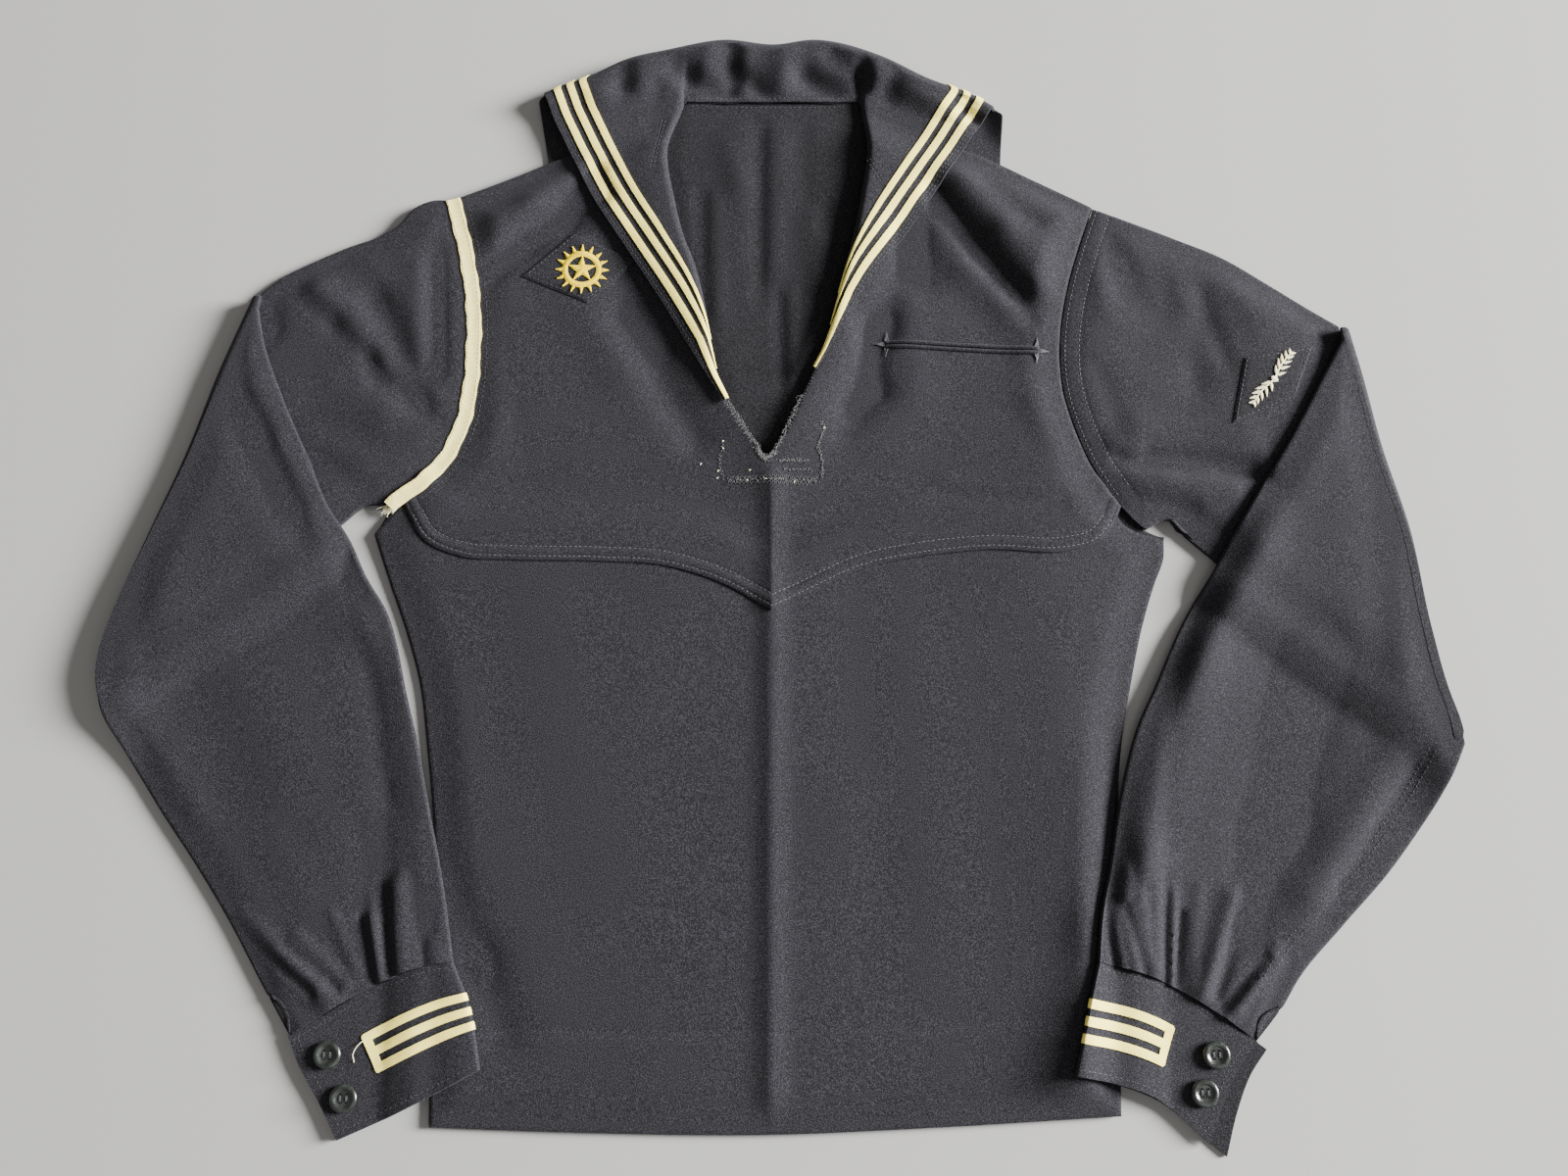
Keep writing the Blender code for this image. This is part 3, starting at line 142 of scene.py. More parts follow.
# armhole seams from the shoulder tip to the armpit: the yoke ends on row 9, the sleeve on row 10
ARMHOLE_RIGHT = [(-215, 241), (-207, 214), (-201, 187), (-197, 159), (-196, 131), (-197, 105),
                 (-201, 82), (-210, 61), (-223, 45), (-237, 34), (-243, 28), (-253, 11)]
ARMHOLE_LEFT = [(209, 235), (200, 210), (192, 185), (186, 159), (183, 133), (184, 107),
                (190, 82), (199, 58), (208, 42), (217, 29), (232, 14), (243, 9)]
YOKE_ROW = 9
SLEEVE_ROW = 10
SHOULDER_RIGHT = [(-215, 241), (-180, 256), (-143, 273), (-106, 289), (-68, 306)]
SHOULDER_LEFT = [(209, 235), (174, 254), (136, 274), (97, 290), (61, 306)]
NECK = [(-68, 306), (-63, 313), (-35, 314), (-2, 314), (31, 314), (56, 313), (61, 306)]

# ---- yoke: its lower edge from armhole to centre, then the centre line and the neck slash ----
YOKE_EDGE_RIGHT = [(-237, 34), (-230, 21), (-222, 8), (-197, -4), (-167, -6), (-112, -7),
                   (-69, -10), (-32, -22), (-3, -39)]
YOKE_EDGE_LEFT = [(217, 29), (211, 16), (200, 4), (182, -1), (133, 0), (90, -4),
                  (53, -12), (23, -26), (-3, -39)]
SLASH_RIGHT = [(-3, -39), (-4, -4), (-5, 30), (-7, 60), (-17, 74), (-25, 86), (-34, 101),
               (-41, 119), (-48, 148), (-58, 193), (-70, 240), (-75, 280), (-68, 306)]
SLASH_LEFT = [(-3, -39), (-4, -4), (-5, 30), (-7, 60), (1, 69), (7, 81), (16, 101),
              (25, 121), (37, 148), (47, 190), (57, 240), (62, 280), (61, 306)]

# ---- lower front: the line between its armpits, and its hidden top edge under the yoke ----
FRONT_MIDDLE = [(-253, 11), (-225, -20), (-167, -33), (-112, -33), (-69, -36), (-32, -48), (-3, -64),
                (23, -52), (53, -38), (90, -30), (133, -26), (182, -28), (220, -16), (243, 9)]
FRONT_TOP = [(-228, 41), (-213, 18), (-197, 8), (-167, 6), (-112, 5), (-69, 2), (-32, -10), (-3, -26),
             (23, -14), (53, 0), (90, 8), (133, 12), (182, 11), (203, 19), (212, 34)]
FRONT_ARMPIT_RIGHT = [(-253, 11), (-246, 20), (-238, 30), (-228, 41)]
FRONT_ARMPIT_LEFT = [(243, 9), (226, 12), (216, 19), (212, 34)]

# ---- collar: outer edges and inner edges from their lower tips up to the shoulders ----
COLLAR_EDGE_RIGHT = [(-34, 97), (-42, 110), (-54, 130), (-76, 168), (-98, 203), (-117, 233),
                     (-136, 270), (-150, 300)]
COLLAR_EDGE_LEFT = [(25.5, 118), (39, 142), (52, 164), (64, 185), (77, 204), (95, 231),
                    (115, 262), (133, 291)]
COLLAR_FOLD_RIGHT = [(-31, 99), (-38, 116), (-42.5, 139), (-46, 160), (-53, 190), (-62, 215),
                     (-68, 240), (-73, 275), (-63, 311)]
COLLAR_FOLD_LEFT = [(23.5, 120), (29, 131), (35, 151), (39, 168), (46, 197), (51, 218),
                    (55, 240), (60, 275), (56, 311)]
# furthest reach of the roll beyond the shoulders, x and y
ROLL_REACH = [(-161, 318), (-144, 326), (-128, 332), (-101, 345), (-75, 351), (-35, 358.6), (-2, 355),
              (25, 358.6), (71, 346), (100, 331), (136, 316), (152, 305)]
FLAP_CORNERS = [(-122, 92), (136, 88)]
# short seams of the collar beside the neck
NECK_DARTS = [((-76, 299), (-83, 260)), ((60, 267), (70, 249))]

# ---- right sleeve, at -X ----
SLEEVE_RIGHT = {
    "overarm": [(-215, 241), (-229, 241), (-240, 236), (-251, 223), (-262, 216), (-283, 208),
                (-304, 198), (-324, 187), (-339, 174)],
    "underarm": [(-243, 28), (-257, 30), (-276, 16), (-340, -34), (-416, -83)],
    "fold": [(-341, 172), (-351, 143), (-358, 122), (-375, 63), (-395, 6), (-410, -39), (-415, -62),
             (-416, -83)],
    "inner": [(-337, 166), (-331, 139), (-316, 101), (-295, 57), (-281, 27), (-268, 8), (-256, -16),
              (-240, -42), (-233, -63), (-227, -87), (-218, -119), (-207, -165), (-201, -189),
              (-195, -217), (-189, -250)],
    "outer": [(-415, -84), (-409, -104), (-395, -126), (-371, -161), (-347, -193), (-324, -226),
              (-303, -260), (-283, -292)],
    "seam": [(-189, -250), (-203, -252), (-239, -266), (-263, -280), (-283, -292)],
    "fold_height": 6.0,
}
# ---- left sleeve, at +X ----
SLEEVE_LEFT = {
    "overarm": [(209, 235), (234, 225), (262, 214), (292, 201), (321, 182), (347, 164), (367, 151)],
    "underarm": [(232, 14), (246, 20), (262, 5), (290, -20), (350, -68), (415, -116)],
    "fold": [(370, 149), (376, 118), (384, 69), (397, 11), (403, -45), (409, -84), (414, -104),
             (416, -119)],
    "inner": [(366, 143), (347, 110), (325, 72), (297, 29), (273, -11), (249, -50), (231, -87),
              (219, -111), (206, -154), (198, -194), (190, -225), (187, -250)],
    "outer": [(415, -122), (405, -143), (366, -197), (335, -229), (306, -260), (296, -275),
              (279, -295)],
    "seam": [(187, -250), (220, -259), (247, -273), (268, -287), (279, -295)],
    "fold_height": 6.4,
}
SLIT_WIDTH = 7.0        # the sleeve's wrist slit, beside the cuff's open end

# ---- cuffs, from the sleeve seam to the wrist edge; the inner end is folded, the outer is open ----
CUFF_RIGHT = {
    "seam": SLEEVE_RIGHT["seam"],
    "wrist": [(-170, -310), (-191, -321), (-217, -334), (-251, -349)],
    "inner": [(-189, -250), (-180, -270), (-175, -286), (-170, -310)],
    "outer": [(-283, -292), (-275, -309), (-264, -326), (-251, -349)],
    "under_shift": (0.0, 0.0),
}
CUFF_LEFT = {
    "seam": SLEEVE_LEFT["seam"],
    "wrist": [(170, -313), (195, -318), (216, -325), (248, -351)],
    "inner": [(187, -250), (182, -268), (177, -288), (170, -313)],
    "outer": [(279, -295), (267.5, -308.5), (257.5, -327), (248, -351)],
    "under_shift": (9.5, -7.0),
}

SHIFT_AT_SEAM = 0.6     # share of the under layer's shift that it has at the sleeve seam

# ---- the largest folds of the cloth: from x, y to x, y, height and half width ----
BODY_FOLDS = [
    (-3, 46, -3, -345, 1.5, 8),         # pressed centre crease
    (122, 250, 182, 164, 1.4, 11),      # shoulder ridge above the left valley
    (152, 262, 207, 180, 2.4, 38),
    (105, 243, 165, 156, -1.9, 8),      # left valley from the collar to the pocket's end
    (92, 218, 148, 142, -1.2, 20),
    (-130, 272, -182, 222, 1.8, 18),    # shoulder ridge above the right valley
    (-121, 263, -190, 188, -2.2, 9),    # right valley
    (-100, 156, -52, 72, -1.9, 12),     # trough beside the right lapel
    (96, 226, 66, 150, -1.8, 12),       # trough beside the left lapel
    (66, 150, 46, 96, -2.1, 12),
    (168, -20, 182, -310, 2.0, 50),     # the front rises towards its left side
]
RIGHT_UPPER_FOLDS = [
    (-262, 168, -230, 108, -1.8, 10),
    (-300, 175, -262, 140, 1.4, 16),
    (-222, 205, -218, 120, -1.2, 8),
    (-310, 95, -255, 90, 1.2, 14),
]
RIGHT_LOWER_FOLDS = [
    (-352, 110, -300, 10, -1.0, 16),
    (-325, 105, -275, 10, 1.2, 12),
    (-300, 0, -250, -55, 1.2, 18),
    (-322, -228, -262, -272, 1.8, 6),
    (-287, -240, -255, -268, 1.2, 5),
    (-238, -226, -232, -258, 1.6, 4),
    (-226, -205, -221, -254, 1.3, 4),
]
LEFT_UPPER_FOLDS = [
    (238, 62, 300, 56, -1.8, 8),
    (232, 78, 296, 76, 1.4, 12),
    (228, 196, 244, 165, -1.0, 14),
    (272, 150, 268, 110, -1.0, 9),
    (250, 38, 290, 36, 1.2, 14),
]
LEFT_LOWER_FOLDS = [
    (392, -140, 330, -225, -2.0, 12),
    (372, -130, 318, -210, 1.8, 14),
    (385, 40, 372, -60, -1.0, 14),
    (300, 20, 262, -60, 1.4, 20),
    (205, -215, 212, -256, 1.6, 5),
    (231, -200, 230, -262, 1.2, 4),
    (268, -212, 247, -268, 1.6, 6),
    (292, -250, 262, -280, 1.4, 5),
]

# ---- trim on the panels: corners and places, x and y ----
CHEST_PATCH = [(-167, 185), (-123.5, 166), (-91, 197), (-134.5, 216)]
SLEEVE_PATCH = [(290, 83), (331, 100), (346, 136), (301, 128)]
POCKET_FROM = (70.5, 138.0)
POCKET_TO = (167.5, 132.6)
WELT_WIDTH = 2.6
WELT_SLIT = 0.5
WELT_SAG = 0.2          # the slit gapes this far in its middle
POCKET_BAG = [((68, 154.5), (172, 151.0)), ((66, 124.5), (166, 121.5))]  # rows of its sewing
BUTTONS_RIGHT = [(-259, -302), (-248, -326)]
BUTTONS_LEFT = [(254, -302), (246, -323)]
# embroidery, mm and degrees: ring and rays round a star, and sprigs with their leaves' places
CHEST_BADGE = {"centre": (-127.5, 189.5), "ring": 11.0, "star": 9.4, "rays": 16, "ray": (13.2, 17.4)}
SLEEVE_BADGE = {
    "centre": (318.5, 112.5), "lean": 52.0, "bend": 2.2, "stem": 23.0, "leaf_lean": 38.0,
    "leaves": [(3.0, 6.6), (7.5, 7.2), (12.0, 6.6), (16.5, 5.4), (20.5, 4.0)],
}

# ---- mending below the slash: lines of zigzag and their half width, and pale knots, x and y ----
MEND_ROWS = [
    ([(-31, 47.4), (-9.4, 47.4), (25.9, 46.8)], 0.9),
    ([(-31, 43.9), (22.6, 42.8)], 0.9),
    ([(1.6, 57.9), (19.4, 57.9)], 0.6),
    ([(28, 84.3), (30, 79.6), (26.1, 69), (28.8, 57.3), (28.2, 46.8)], 0.5),
    ([(-7.3, 61), (-2.8, 62.6), (2.7, 62.6)], 0.8),
    ([(-9.5, 60), (-3.9, 56.6), (1, 59)], 0.6),
]
# worn lines: points, number of fibres and their reach
WORN_LINES = [
    ([(-33, 100), (-24, 86), (-17, 75), (-10.5, 65)], 150, 1.5),
    ([(16, 102), (7, 82), (1.5, 69.5), (-3.5, 62.5)], 150, 1.5),
    ([(-13, 66), (-7, 59), (-1, 63)], 110, 2.2),
    ([(-31, 45.5), (-9, 45.5), (25, 44.8)], 150, 1.6),
    ([(1.6, 57.9), (19.4, 57.9)], 60, 1.3),
    ([(28, 84.3), (30, 79.6), (26.1, 69), (28.8, 57.3), (28.2, 46.8)], 90, 1.3),
    ([(-34, 70), (-36, 58), (-34, 46)], 36, 1.2),
    ([(4, 52), (22, 52)], 40, 1.1),
]
MEND_KNOTS = [(-37.6, 46.8), (-34.3, 71.3), (-34.3, 66.6), (-48.2, 56.1), (-17.2, 51.5), (-18.8, 45.1),
              (-37.1, 51.5), (30.2, 80.0), (-6.9, 45.4), (11.0, 44.0)]
LOOSE_THREAD = [(-238.5, -293.5), (-242.7, -298.2), (-244.2, -302.0), (-243.5, -306.2)]

# ---- mesh density: spaces along and across each piece ----
BODY_COLUMNS = 150
BODY_ROWS = 120
YOKE_COLUMNS = 84
YOKE_ROWS = 130
STATIONS = 62            # across a sleeve or cuff
UPPER_SLEEVE_ROWS = 62
LOWER_SLEEVE_ROWS = 140
SLIT_ROWS = 16
TURN_ROWS = 14
EDGE_TURNS = 5           # points round a quarter of a tube's edge
LAPEL_ROWS = 130
LAPEL_SHARES = np.concatenate([
    np.linspace(0.0, 0.82, 20), 0.82 + 0.18 * np.sin(np.linspace(0.0, 1.0, 13)[1:] * np.pi / 2)])
LAPEL_COLUMNS = len(LAPEL_SHARES) - 1
NECK_COLUMNS = 72
RISE_ROWS = 22
FLAP_ROWS = 26
FLAP_ROW_POWER = 1.8     # closer rows beside the turn
CUFF_ROWS = 26
CUFF_END_COLUMN = 7.0    # of the sewing at a cuff's open end
LAP_ROWS = 12            # of the front's edge hidden under the yoke
WELT_SPACES = 80
STRAND_SIDES = 5
# shares of a thread's length, and of its radius there
STRAND_PROFILE = [(0.0, 0.12), (0.14, 0.8), (0.5, 1.0), (0.86, 0.8), (1.0, 0.12)]
NEAREST_POINTS = 4       # that a height is read from

# ---- smaller folds: from x, y to x, y, height and half width, mm ----
FINE_BODY_FOLDS = [
    (186, 215, 182, 60, 1.8, 42), (206, -150, 196, -230, 2.4, 20), (196, -230, 172, -322, 3.0, 20),
    (-196, -205, -176, -250, -1.5, 13), (-176, -250, -160, -290, -1.3, 13), (-208, -255, -196, -320, 0.9, 14),
    (103, 248, 133, 203, -1.9, 7), (133, 203, 158, 174, -1.9, 7), (158, 174, 184, 157, -1.3, 7),
    (120, 262, 150, 220, 1.3, 11), (150, 220, 186, 182, 1.2, 11), (92, 232, 122, 190, 1.0, 13),
    (122, 190, 150, 162, 0.8, 12), (140, 250, 180, 214, -0.7, 9), (160, 255, 196, 226, 0.6, 8),
    (-122, 258, -116, 244, -1.4, 7), (-116, 244, -140, 223, -1.6, 7), (-140, 223, -168, 205, -1.5, 8),
    (-168, 205, -194, 186, -1.0, 9), (-128, 270, -160, 238, 1.2, 12), (-160, 238, -196, 210, 0.9, 12),
    (-150, 262, -196, 236, -0.6, 9), (-104, 222, -128, 204, 0.6, 9),
    (-111, 201, -70, 138, -1.2, 14), (-70, 138, -28, 70, -1.0, 14), (-132, 170, -96, 120, 0.7, 18),
    (-96, 120, -56, 60, 0.5, 20), (82, 222, 94, 180, -1.2, 11), (55, 159, 64, 105, -1.0, 9),
    (64, 105, 42, 78, -0.9, 9), (84, 170, 88, 110, 0.7, 13), (98, 118, 70, 70, 0.4, 16),
    (103, 36, 177, 29, -0.5, 6), (105, 45, 172, 40, 0.4, 7), (-160, 40, -60, 18, -0.3, 12),
    (-170, 84, -92, 96, 0.35, 16), (150, 90, 178, 60, -0.5, 12), (168, 100, 178, 70, 0.5, 10),
    (-185, 120, -178, 62, 0.4, 12), (-176, 150, -168, 70, -0.35, 10),
    (-3, 44, -3, -338, 0.35, 2.2), (52, 20, 60, -330, -0.3, 20), (-70, -20, -76, -330, 0.25, 24),
    (-150, -40, -110, -200, 0.25, 26), (-60, -60, -70, -260, -0.22, 24), (80, -50, 96, -230, 0.25, 28),
    (150, -60, 130, -240, -0.22, 24), (-180, -150, -120, -290, 0.2, 22), (40, -150, 60, -320, 0.2, 18),
    (176, -90, 186, -240, 0.3, 16), (-196, -90, -186, -240, 0.3, 16), (-40, -140, 30, -180, 0.15, 26),
    (-190, -262, 190, -262, 0.12, 20),
]
FINE_RIGHT_UPPER = [
    (-261, 213, -330, 171, -1.5, 3.2), (-258, 220, -330, 179, 0.5, 5),
    (-340, 173, -329, 149, -1.8, 8), (-315, 177, -288, 153, -1.0, 8), (-288, 153, -264, 129, -1.2, 8),
    (-264, 129, -257, 115, -1.7, 5), (-257, 115, -228, 95, -1.1, 7), (-228, 95, -214, 82, -0.8, 7),
    (-300, 176, -272, 146, 0.9, 10), (-250, 128, -226, 108, 0.8, 8), (-224, 194, -219, 119, -1.0, 6),
    (-236, 190, -232, 130, 0.6, 8), (-303, 92, -264, 72, -0.6, 12), (-300, 80, -262, 60, 0.5, 9),
    (-284, 110, -250, 96, 0.6, 9), (-270, 200, -244, 170, 0.5, 10), (-290, 60, -262, 40, -0.5, 7),
]
FINE_RIGHT_LOWER = [
    (-250, -70, -226, -150, -1.0, 16), (-226, -150, -208, -225, -0.9, 14), (-300, -60, -262, -190, 0.7, 26),
    (-353, 117, -331, 77, -1.0, 11), (-331, 77, -302, 25, -1.1, 11), (-302, 25, -284, -20, -0.6, 12),
    (-334, 132, -308, 70, 0.9, 8), (-308, 70, -283, 19, 0.8, 9), (-383, 0, -368, -60, 0.5, 16),
    (-398, -30, -384, -80, -0.5, 10), (-370, -60, -330, -150, -0.4, 20), (-340, -60, -300, -140, 0.45, 22),
    (-290, -70, -262, -150, -0.35, 18), (-258, -80, -236, -160, 0.4, 16), (-386, -110, -350, -160, 0.5, 12),
    (-245, -224, -235, -262, -0.8, 2.6), (-234, -206, -225, -256, -0.8, 2.6),
    (-240, -214, -230, -258, 0.6, 3.0), (-222, -200, -216, -254, 0.8, 3.4),
    (-323, -227, -271, -268, -1.5, 2.8), (-316, -222, -266, -262, 1.2, 4.2),
    (-289, -240, -256, -266, -1.4, 2.5), (-282, -234, -250, -262, 1.0, 3.6),
    (-262, -222, -244, -258, 0.7, 4), (-212, -205, -206, -252, -0.9, 3),
    (-202, -150, -203, -190, -0.5, 4), (-203, -190, -203, -232, -1.2, 3.0),
    (-300, -180, -270, -230, 0.4, 12), (-250, -170, -240, -215, -0.4, 9),
]
FINE_LEFT_UPPER = [
    (218, 215, 228, 173, -1.0, 7), (204, 200, 214, 160, 0.5, 6), (232, 210, 246, 168, 0.5, 8),
    (276, 173, 289, 126, -0.8, 6), (262, 180, 272, 132, 0.6, 8), (292, 190, 312, 150, 0.5, 9),
    (216, 59, 260, 55, -1.5, 5), (260, 55, 308, 49, -1.4, 5), (214, 68, 306, 62, 0.9, 6),
    (220, 44, 286, 38, 0.7, 7), (240, 110, 286, 96, 0.4, 12), (206, 120, 216, 88, -0.6, 8),
    (252, 24, 282, 12, -0.7, 6), (320, 172, 344, 150, 0.5, 8), (232, 140, 268, 150, -0.4, 10),
    (236, 30, 262, 26, -0.8, 4), (316, 182, 322, 84, 2.2, 42),
]
FINE_LEFT_LOWER = [
    (286, 10, 250, -74, 2.6, 26), (250, -74, 216, -190, 2.9, 24), (216, -190, 206, -240, 1.6, 16),
    (330, -70, 300, -170, -2.4, 24), (300, -170, 274, -225, -1.9, 18),
    (392, -138, 366, -172, -1.7, 6), (366, -172, 338, -206, -1.5, 6), (400, -128, 374, -162, 0.8, 4),
    (346, -120, 300, -190, 0.5, 16), (374, 60, 366, 0, -0.5, 14), (352, 90, 330, 40, 0.5, 12),
    (300, 0, 268, -60, 0.5, 12), (330, -40, 290, -110, -0.4, 20), (262, -80, 236, -150, 0.4, 16),
    (388, -20, 380, -90, 0.5, 12), (240, -110, 226, -170, -0.4, 12),
    (192, -226, 197, -252, -1.2, 2.8), (197, -216, 202, -252, 0.9, 2.8),
    (205, -218, 214, -256, -1.5, 3.0), (214, -212, 220, -256, 0.9, 3.4),
    (231, -199, 228, -262, -1.4, 2.8), (239, -222, 233, -262, -1.3, 2.6), (224, -206, 223, -256, 0.8, 3.2),
    (235, -210, 231, -262, 0.8, 2.2), (250, -206, 242, -264, 0.6, 4.0),
    (283, -204, 257, -269, -1.4, 3.4), (274, -206, 250, -266, 0.9, 3.6),
    (288, -248, 260, -276, -1.3, 2.8), (294, -240, 268, -278, 0.8, 3.2),
    (302, -250, 282, -284, -0.9, 3.4),
]
COLLAR_FOLDS = [
    (-104, 342, -104, 322, -1.2, 6), (-92, 346, -88, 318, 0.9, 7), (-68, 336, -41, 316, -2.0, 9),
    (-32, 356, -31, 312, -1.6, 7), (-46, 352, -52, 322, 0.9, 7), (-20, 350, -22, 324, 0.8, 6),
    (-22, 329, -9, 316, -1.6, 7), (6, 352, 4, 322, 0.9, 8), (18, 331, 37, 316, -2.0, 9),
    (37, 344, 57, 334, -1.4, 7), (57, 338, 57, 322, -2.0, 5), (46, 350, 70, 330, 0.9, 7),
    (78, 338, 74, 312, -1.0, 7), (92, 330, 104, 300, 0.8, 10), (125, 309, 150, 265, -1.6, 8),
    (112, 312, 128, 284, 0.8, 8), (-120, 318, -112, 284, 0.7, 9), (-84, 322, -82, 292, -0.8, 8),
    (60, 263, 69, 246, -0.4, 4), (-76, 298, -83, 258, -0.4, 3.0), (-92, 268, -76, 214, 0.4, 9),
    (84, 262, 66, 214, 0.4, 9), (-60, 196, -46, 150, 0.3, 8), (48, 176, 34, 140, 0.3, 7),
]
BACK_FOLDS = [
    (-12, 300, -12, 174, -0.9, 5), (0, 290, -2, 190, 0.6, 7), (-51, 245, -50, 160, -0.9, 5),
    (-40, 240, -38, 160, 0.6, 6), (1, 174, 4, 90, -0.9, 4), (10, 170, 10, 100, 0.5, 5),
    (-35, 281, -24, 250, 0.7, 9), (34, 234, 49, 181, -0.7, 7), (22, 230, 30, 180, 0.5, 8),
    (49, 181, 20, 178, -0.6, 6), (-26, 300, -28, 200, 0.4, 8), (16, 300, 18, 240, -0.5, 7),
]

# ---- sewing: stitch length and gap, mm ----
STITCH = (2.0, 1.1)
HEM_STITCH = (1.6, 1.7)
# distances of its rows from the edge or seam that they follow
YOKE_SEWING = (2.6, 8.8)
ARMHOLE_SEWING = (3.0, 12.0)
COLLAR_SEWING = (2.2, 4.4)
DART_SEWING = 1.1
NECK_SEWING = 3.2
ELBOW_SEWING = (15.0, 19.0)
SHOULDER_TAPE_SEWING = 3.5
CUFF_SEWING = (0.045, 0.94)  # shares of the cuff's depth
PATCH_SEWING = 0.09          # share of the way to the patch's middle
# dents that sewing leaves: distance, depth and half width; the cloth rises between two rows
YOKE_DENTS = [(2.6, 0.35, 0.9), (8.8, 0.3, 1.0), (5.4, -0.3, 2.2)]
ARMHOLE_DENTS = [(3.0, 0.35, 0.9), (12.0, 0.3, 1.1)]
HEM_DENTS = [(0.0, 0.25, 2.5)]
SHOULDER_TAPE_DENTS = [(3.5, 0.22, 0.5)]
PATCH_DENTS = [(2.2, 0.25, 0.9)]
EDGE_DROP = 0.75         # how far a cloth's edge rounds down
EDGE_ROUND = 1.8         # over this distance
ARMHOLE_PUFF = 1.1       # cloth stands up beside the armhole seams
ARMHOLE_PUFF_WIDTH = 34.0
SEAM_GROOVE = 0.8
SEAM_GROOVE_WIDTH = 1.6

WAVE_SCALE = 0.314       # of the band texture, for one band a unit of length

# ---- floor, lights and camera, m ----
FLOOR_HALF = 3.0
FLOOR_LOW = -0.0004      # just under the cloth
LIGHTS = [("key", (6.0, 0.9, 2.35), 2.6, 3300.0), ("fill", (0.4, -1.2, 1.6), 1.2, 5.0)]
CAMERA_PLACE = (0.0045, -0.2534, 0.925)
CAMERA_TILT = math.radians(14.0)


def ease(value):
    """0 below 0, 1 above 1 and smooth between."""
    share = np.clip(value, 0.0, 1.0)
    return share * share * (3.0 - 2.0 * share)


def run_lengths(points):
    """Length along a line of points, up to each of them."""
    steps = np.linalg.norm(np.diff(points, axis=0), axis=1)
    return np.concatenate([[0.0], np.cumsum(steps)])


def at_lengths(points, at):
    """Places on a line of points at given lengths along it."""
    lengths = run_lengths(points)
    return np.column_stack([np.interp(at, lengths, row) for row in points.T])


def ways_along(points):
    """Direction of a line of points at each of them."""
    way = np.gradient(points, axis=0)
    return way / np.linalg.norm(way, axis=1, keepdims=True)


def bell(distance, width):
    """1 at no distance, and falling away smoothly on both sides."""
    return np.exp(-(distance / width) ** 2)


def smooth_value(knots, values, at):
    """Value of a smooth curve through values (rows) at their knots."""
    knots, values, at = np.asarray(knots, float), np.asarray(values, float), np.asarray(at, float)
    slopes = np.gradient(values, knots, axis=0) if len(knots) > 2 else np.zeros_like(values)
    if len(knots) == 2:
        slopes[:] = (values[1] - values[0]) / (knots[1] - knots[0])
    index = np.clip(np.searchsorted(knots, at, side="right") - 1, 0, len(knots) - 2)
    step = knots[index + 1] - knots[index]
    t = np.clip((at - knots[index]) / step, 0.0, 1.0)
    if values.ndim == 2:
        t, step = t[..., None], step[..., None]
    return ((2 * t**3 - 3 * t**2 + 1) * values[index] + (t**3 - 2 * t**2 + t) * step * slopes[index]
            + (3 * t**2 - 2 * t**3) * values[index + 1] + (t**3 - t**2) * step * slopes[index + 1])


def line(points, spaces):
    """Points along the smooth curve through the given points, evenly or at the given shares."""
    return along(points, 0, len(points) - 1, spaces)


def along(points, first, last, spaces):
    """The stretch of that curve between two of its rows."""
    points = np.asarray(points, float)
    shares = np.linspace(0.0, 1.0, spaces + 1) if np.isscalar(spaces) else spaces
    lengths = run_lengths(points)
    return smooth_value(lengths, points, lengths[first] + (lengths[last] - lengths[first]) * shares)


def spread(spaces, closer):
    """Shares from 0 to 1, with a few closer ones at both ends."""
    ends = np.array(closer)
    inner = np.linspace(0.0, 1.0, spaces + 1)
    inner = inner[(inner > 1.3 * ends[-1]) & (inner < 1.0 - 1.3 * ends[-1])]
    return np.concatenate([[0.0], ends, inner, 1.0 - ends[::-1], [1.0]])


def height_table(rows, at):
    """y of a table of x and y, read at x."""
    table = sorted(rows)
    return smooth_value([row[0] for row in table], [row[1] for row in table], at)


def patch(low, high, left, right, across=None, up=None):
    """Grid of points with the four given borders. low and high run from left to right."""
    low, high, left, right = (np.asarray(border, float) for border in (low, high, left, right))
    up = np.linspace(0.0, 1.0, len(left)) if up is None else up
    across = np.linspace(0.0, 1.0, len(low)) if across is None else across
    v, u = up[:, None, None], across[None, :, None]
    sides = (1 - v) * low[None] + v * high[None] + (1 - u) * left[:, None] + u * right[:, None]
    corners = ((1 - u) * (1 - v) * low[0] + u * (1 - v) * low[-1]
               + (1 - u) * v * high[0] + u * v * high[-1])
    return sides - corners


def segment_distance(x, y, start, end):
    """Distance to the straight line between two points."""
    along_x, along_y = end[0] - start[0], end[1] - start[1]
    length = max(along_x**2 + along_y**2, 1e-9)
    share = np.clip(((x - start[0]) * along_x + (y - start[1]) * along_y) / length, 0.0, 1.0)
    return np.hypot(x - start[0] - share * along_x, y - start[1] - share * along_y)


def line_distance(x, y, points):
    """Distance to an open line of points."""
    nearest = np.full(np.shape(x), 1e9)
    for start, end in zip(points, points[1:]):
        nearest = np.minimum(nearest, segment_distance(x, y, start, end))
    return nearest


def inside_distance(x, y, outline):
    """Distance to a closed outline, positive inside it."""
    nearest = np.full(np.shape(x), 1e9)
    inside = np.zeros(np.shape(x), bool)
    for start, end in zip(outline, np.roll(outline, -1, axis=0)):
        nearest = np.minimum(nearest, segment_distance(x, y, start, end))
        (ax, ay), (bx, by) = start, end
        if ay != by:
            crossed = (ay > y) != (by > y)
            inside ^= crossed & (x < ax + (y - ay) * (bx - ax) / (by - ay))
    return np.where(inside, nearest, -nearest)


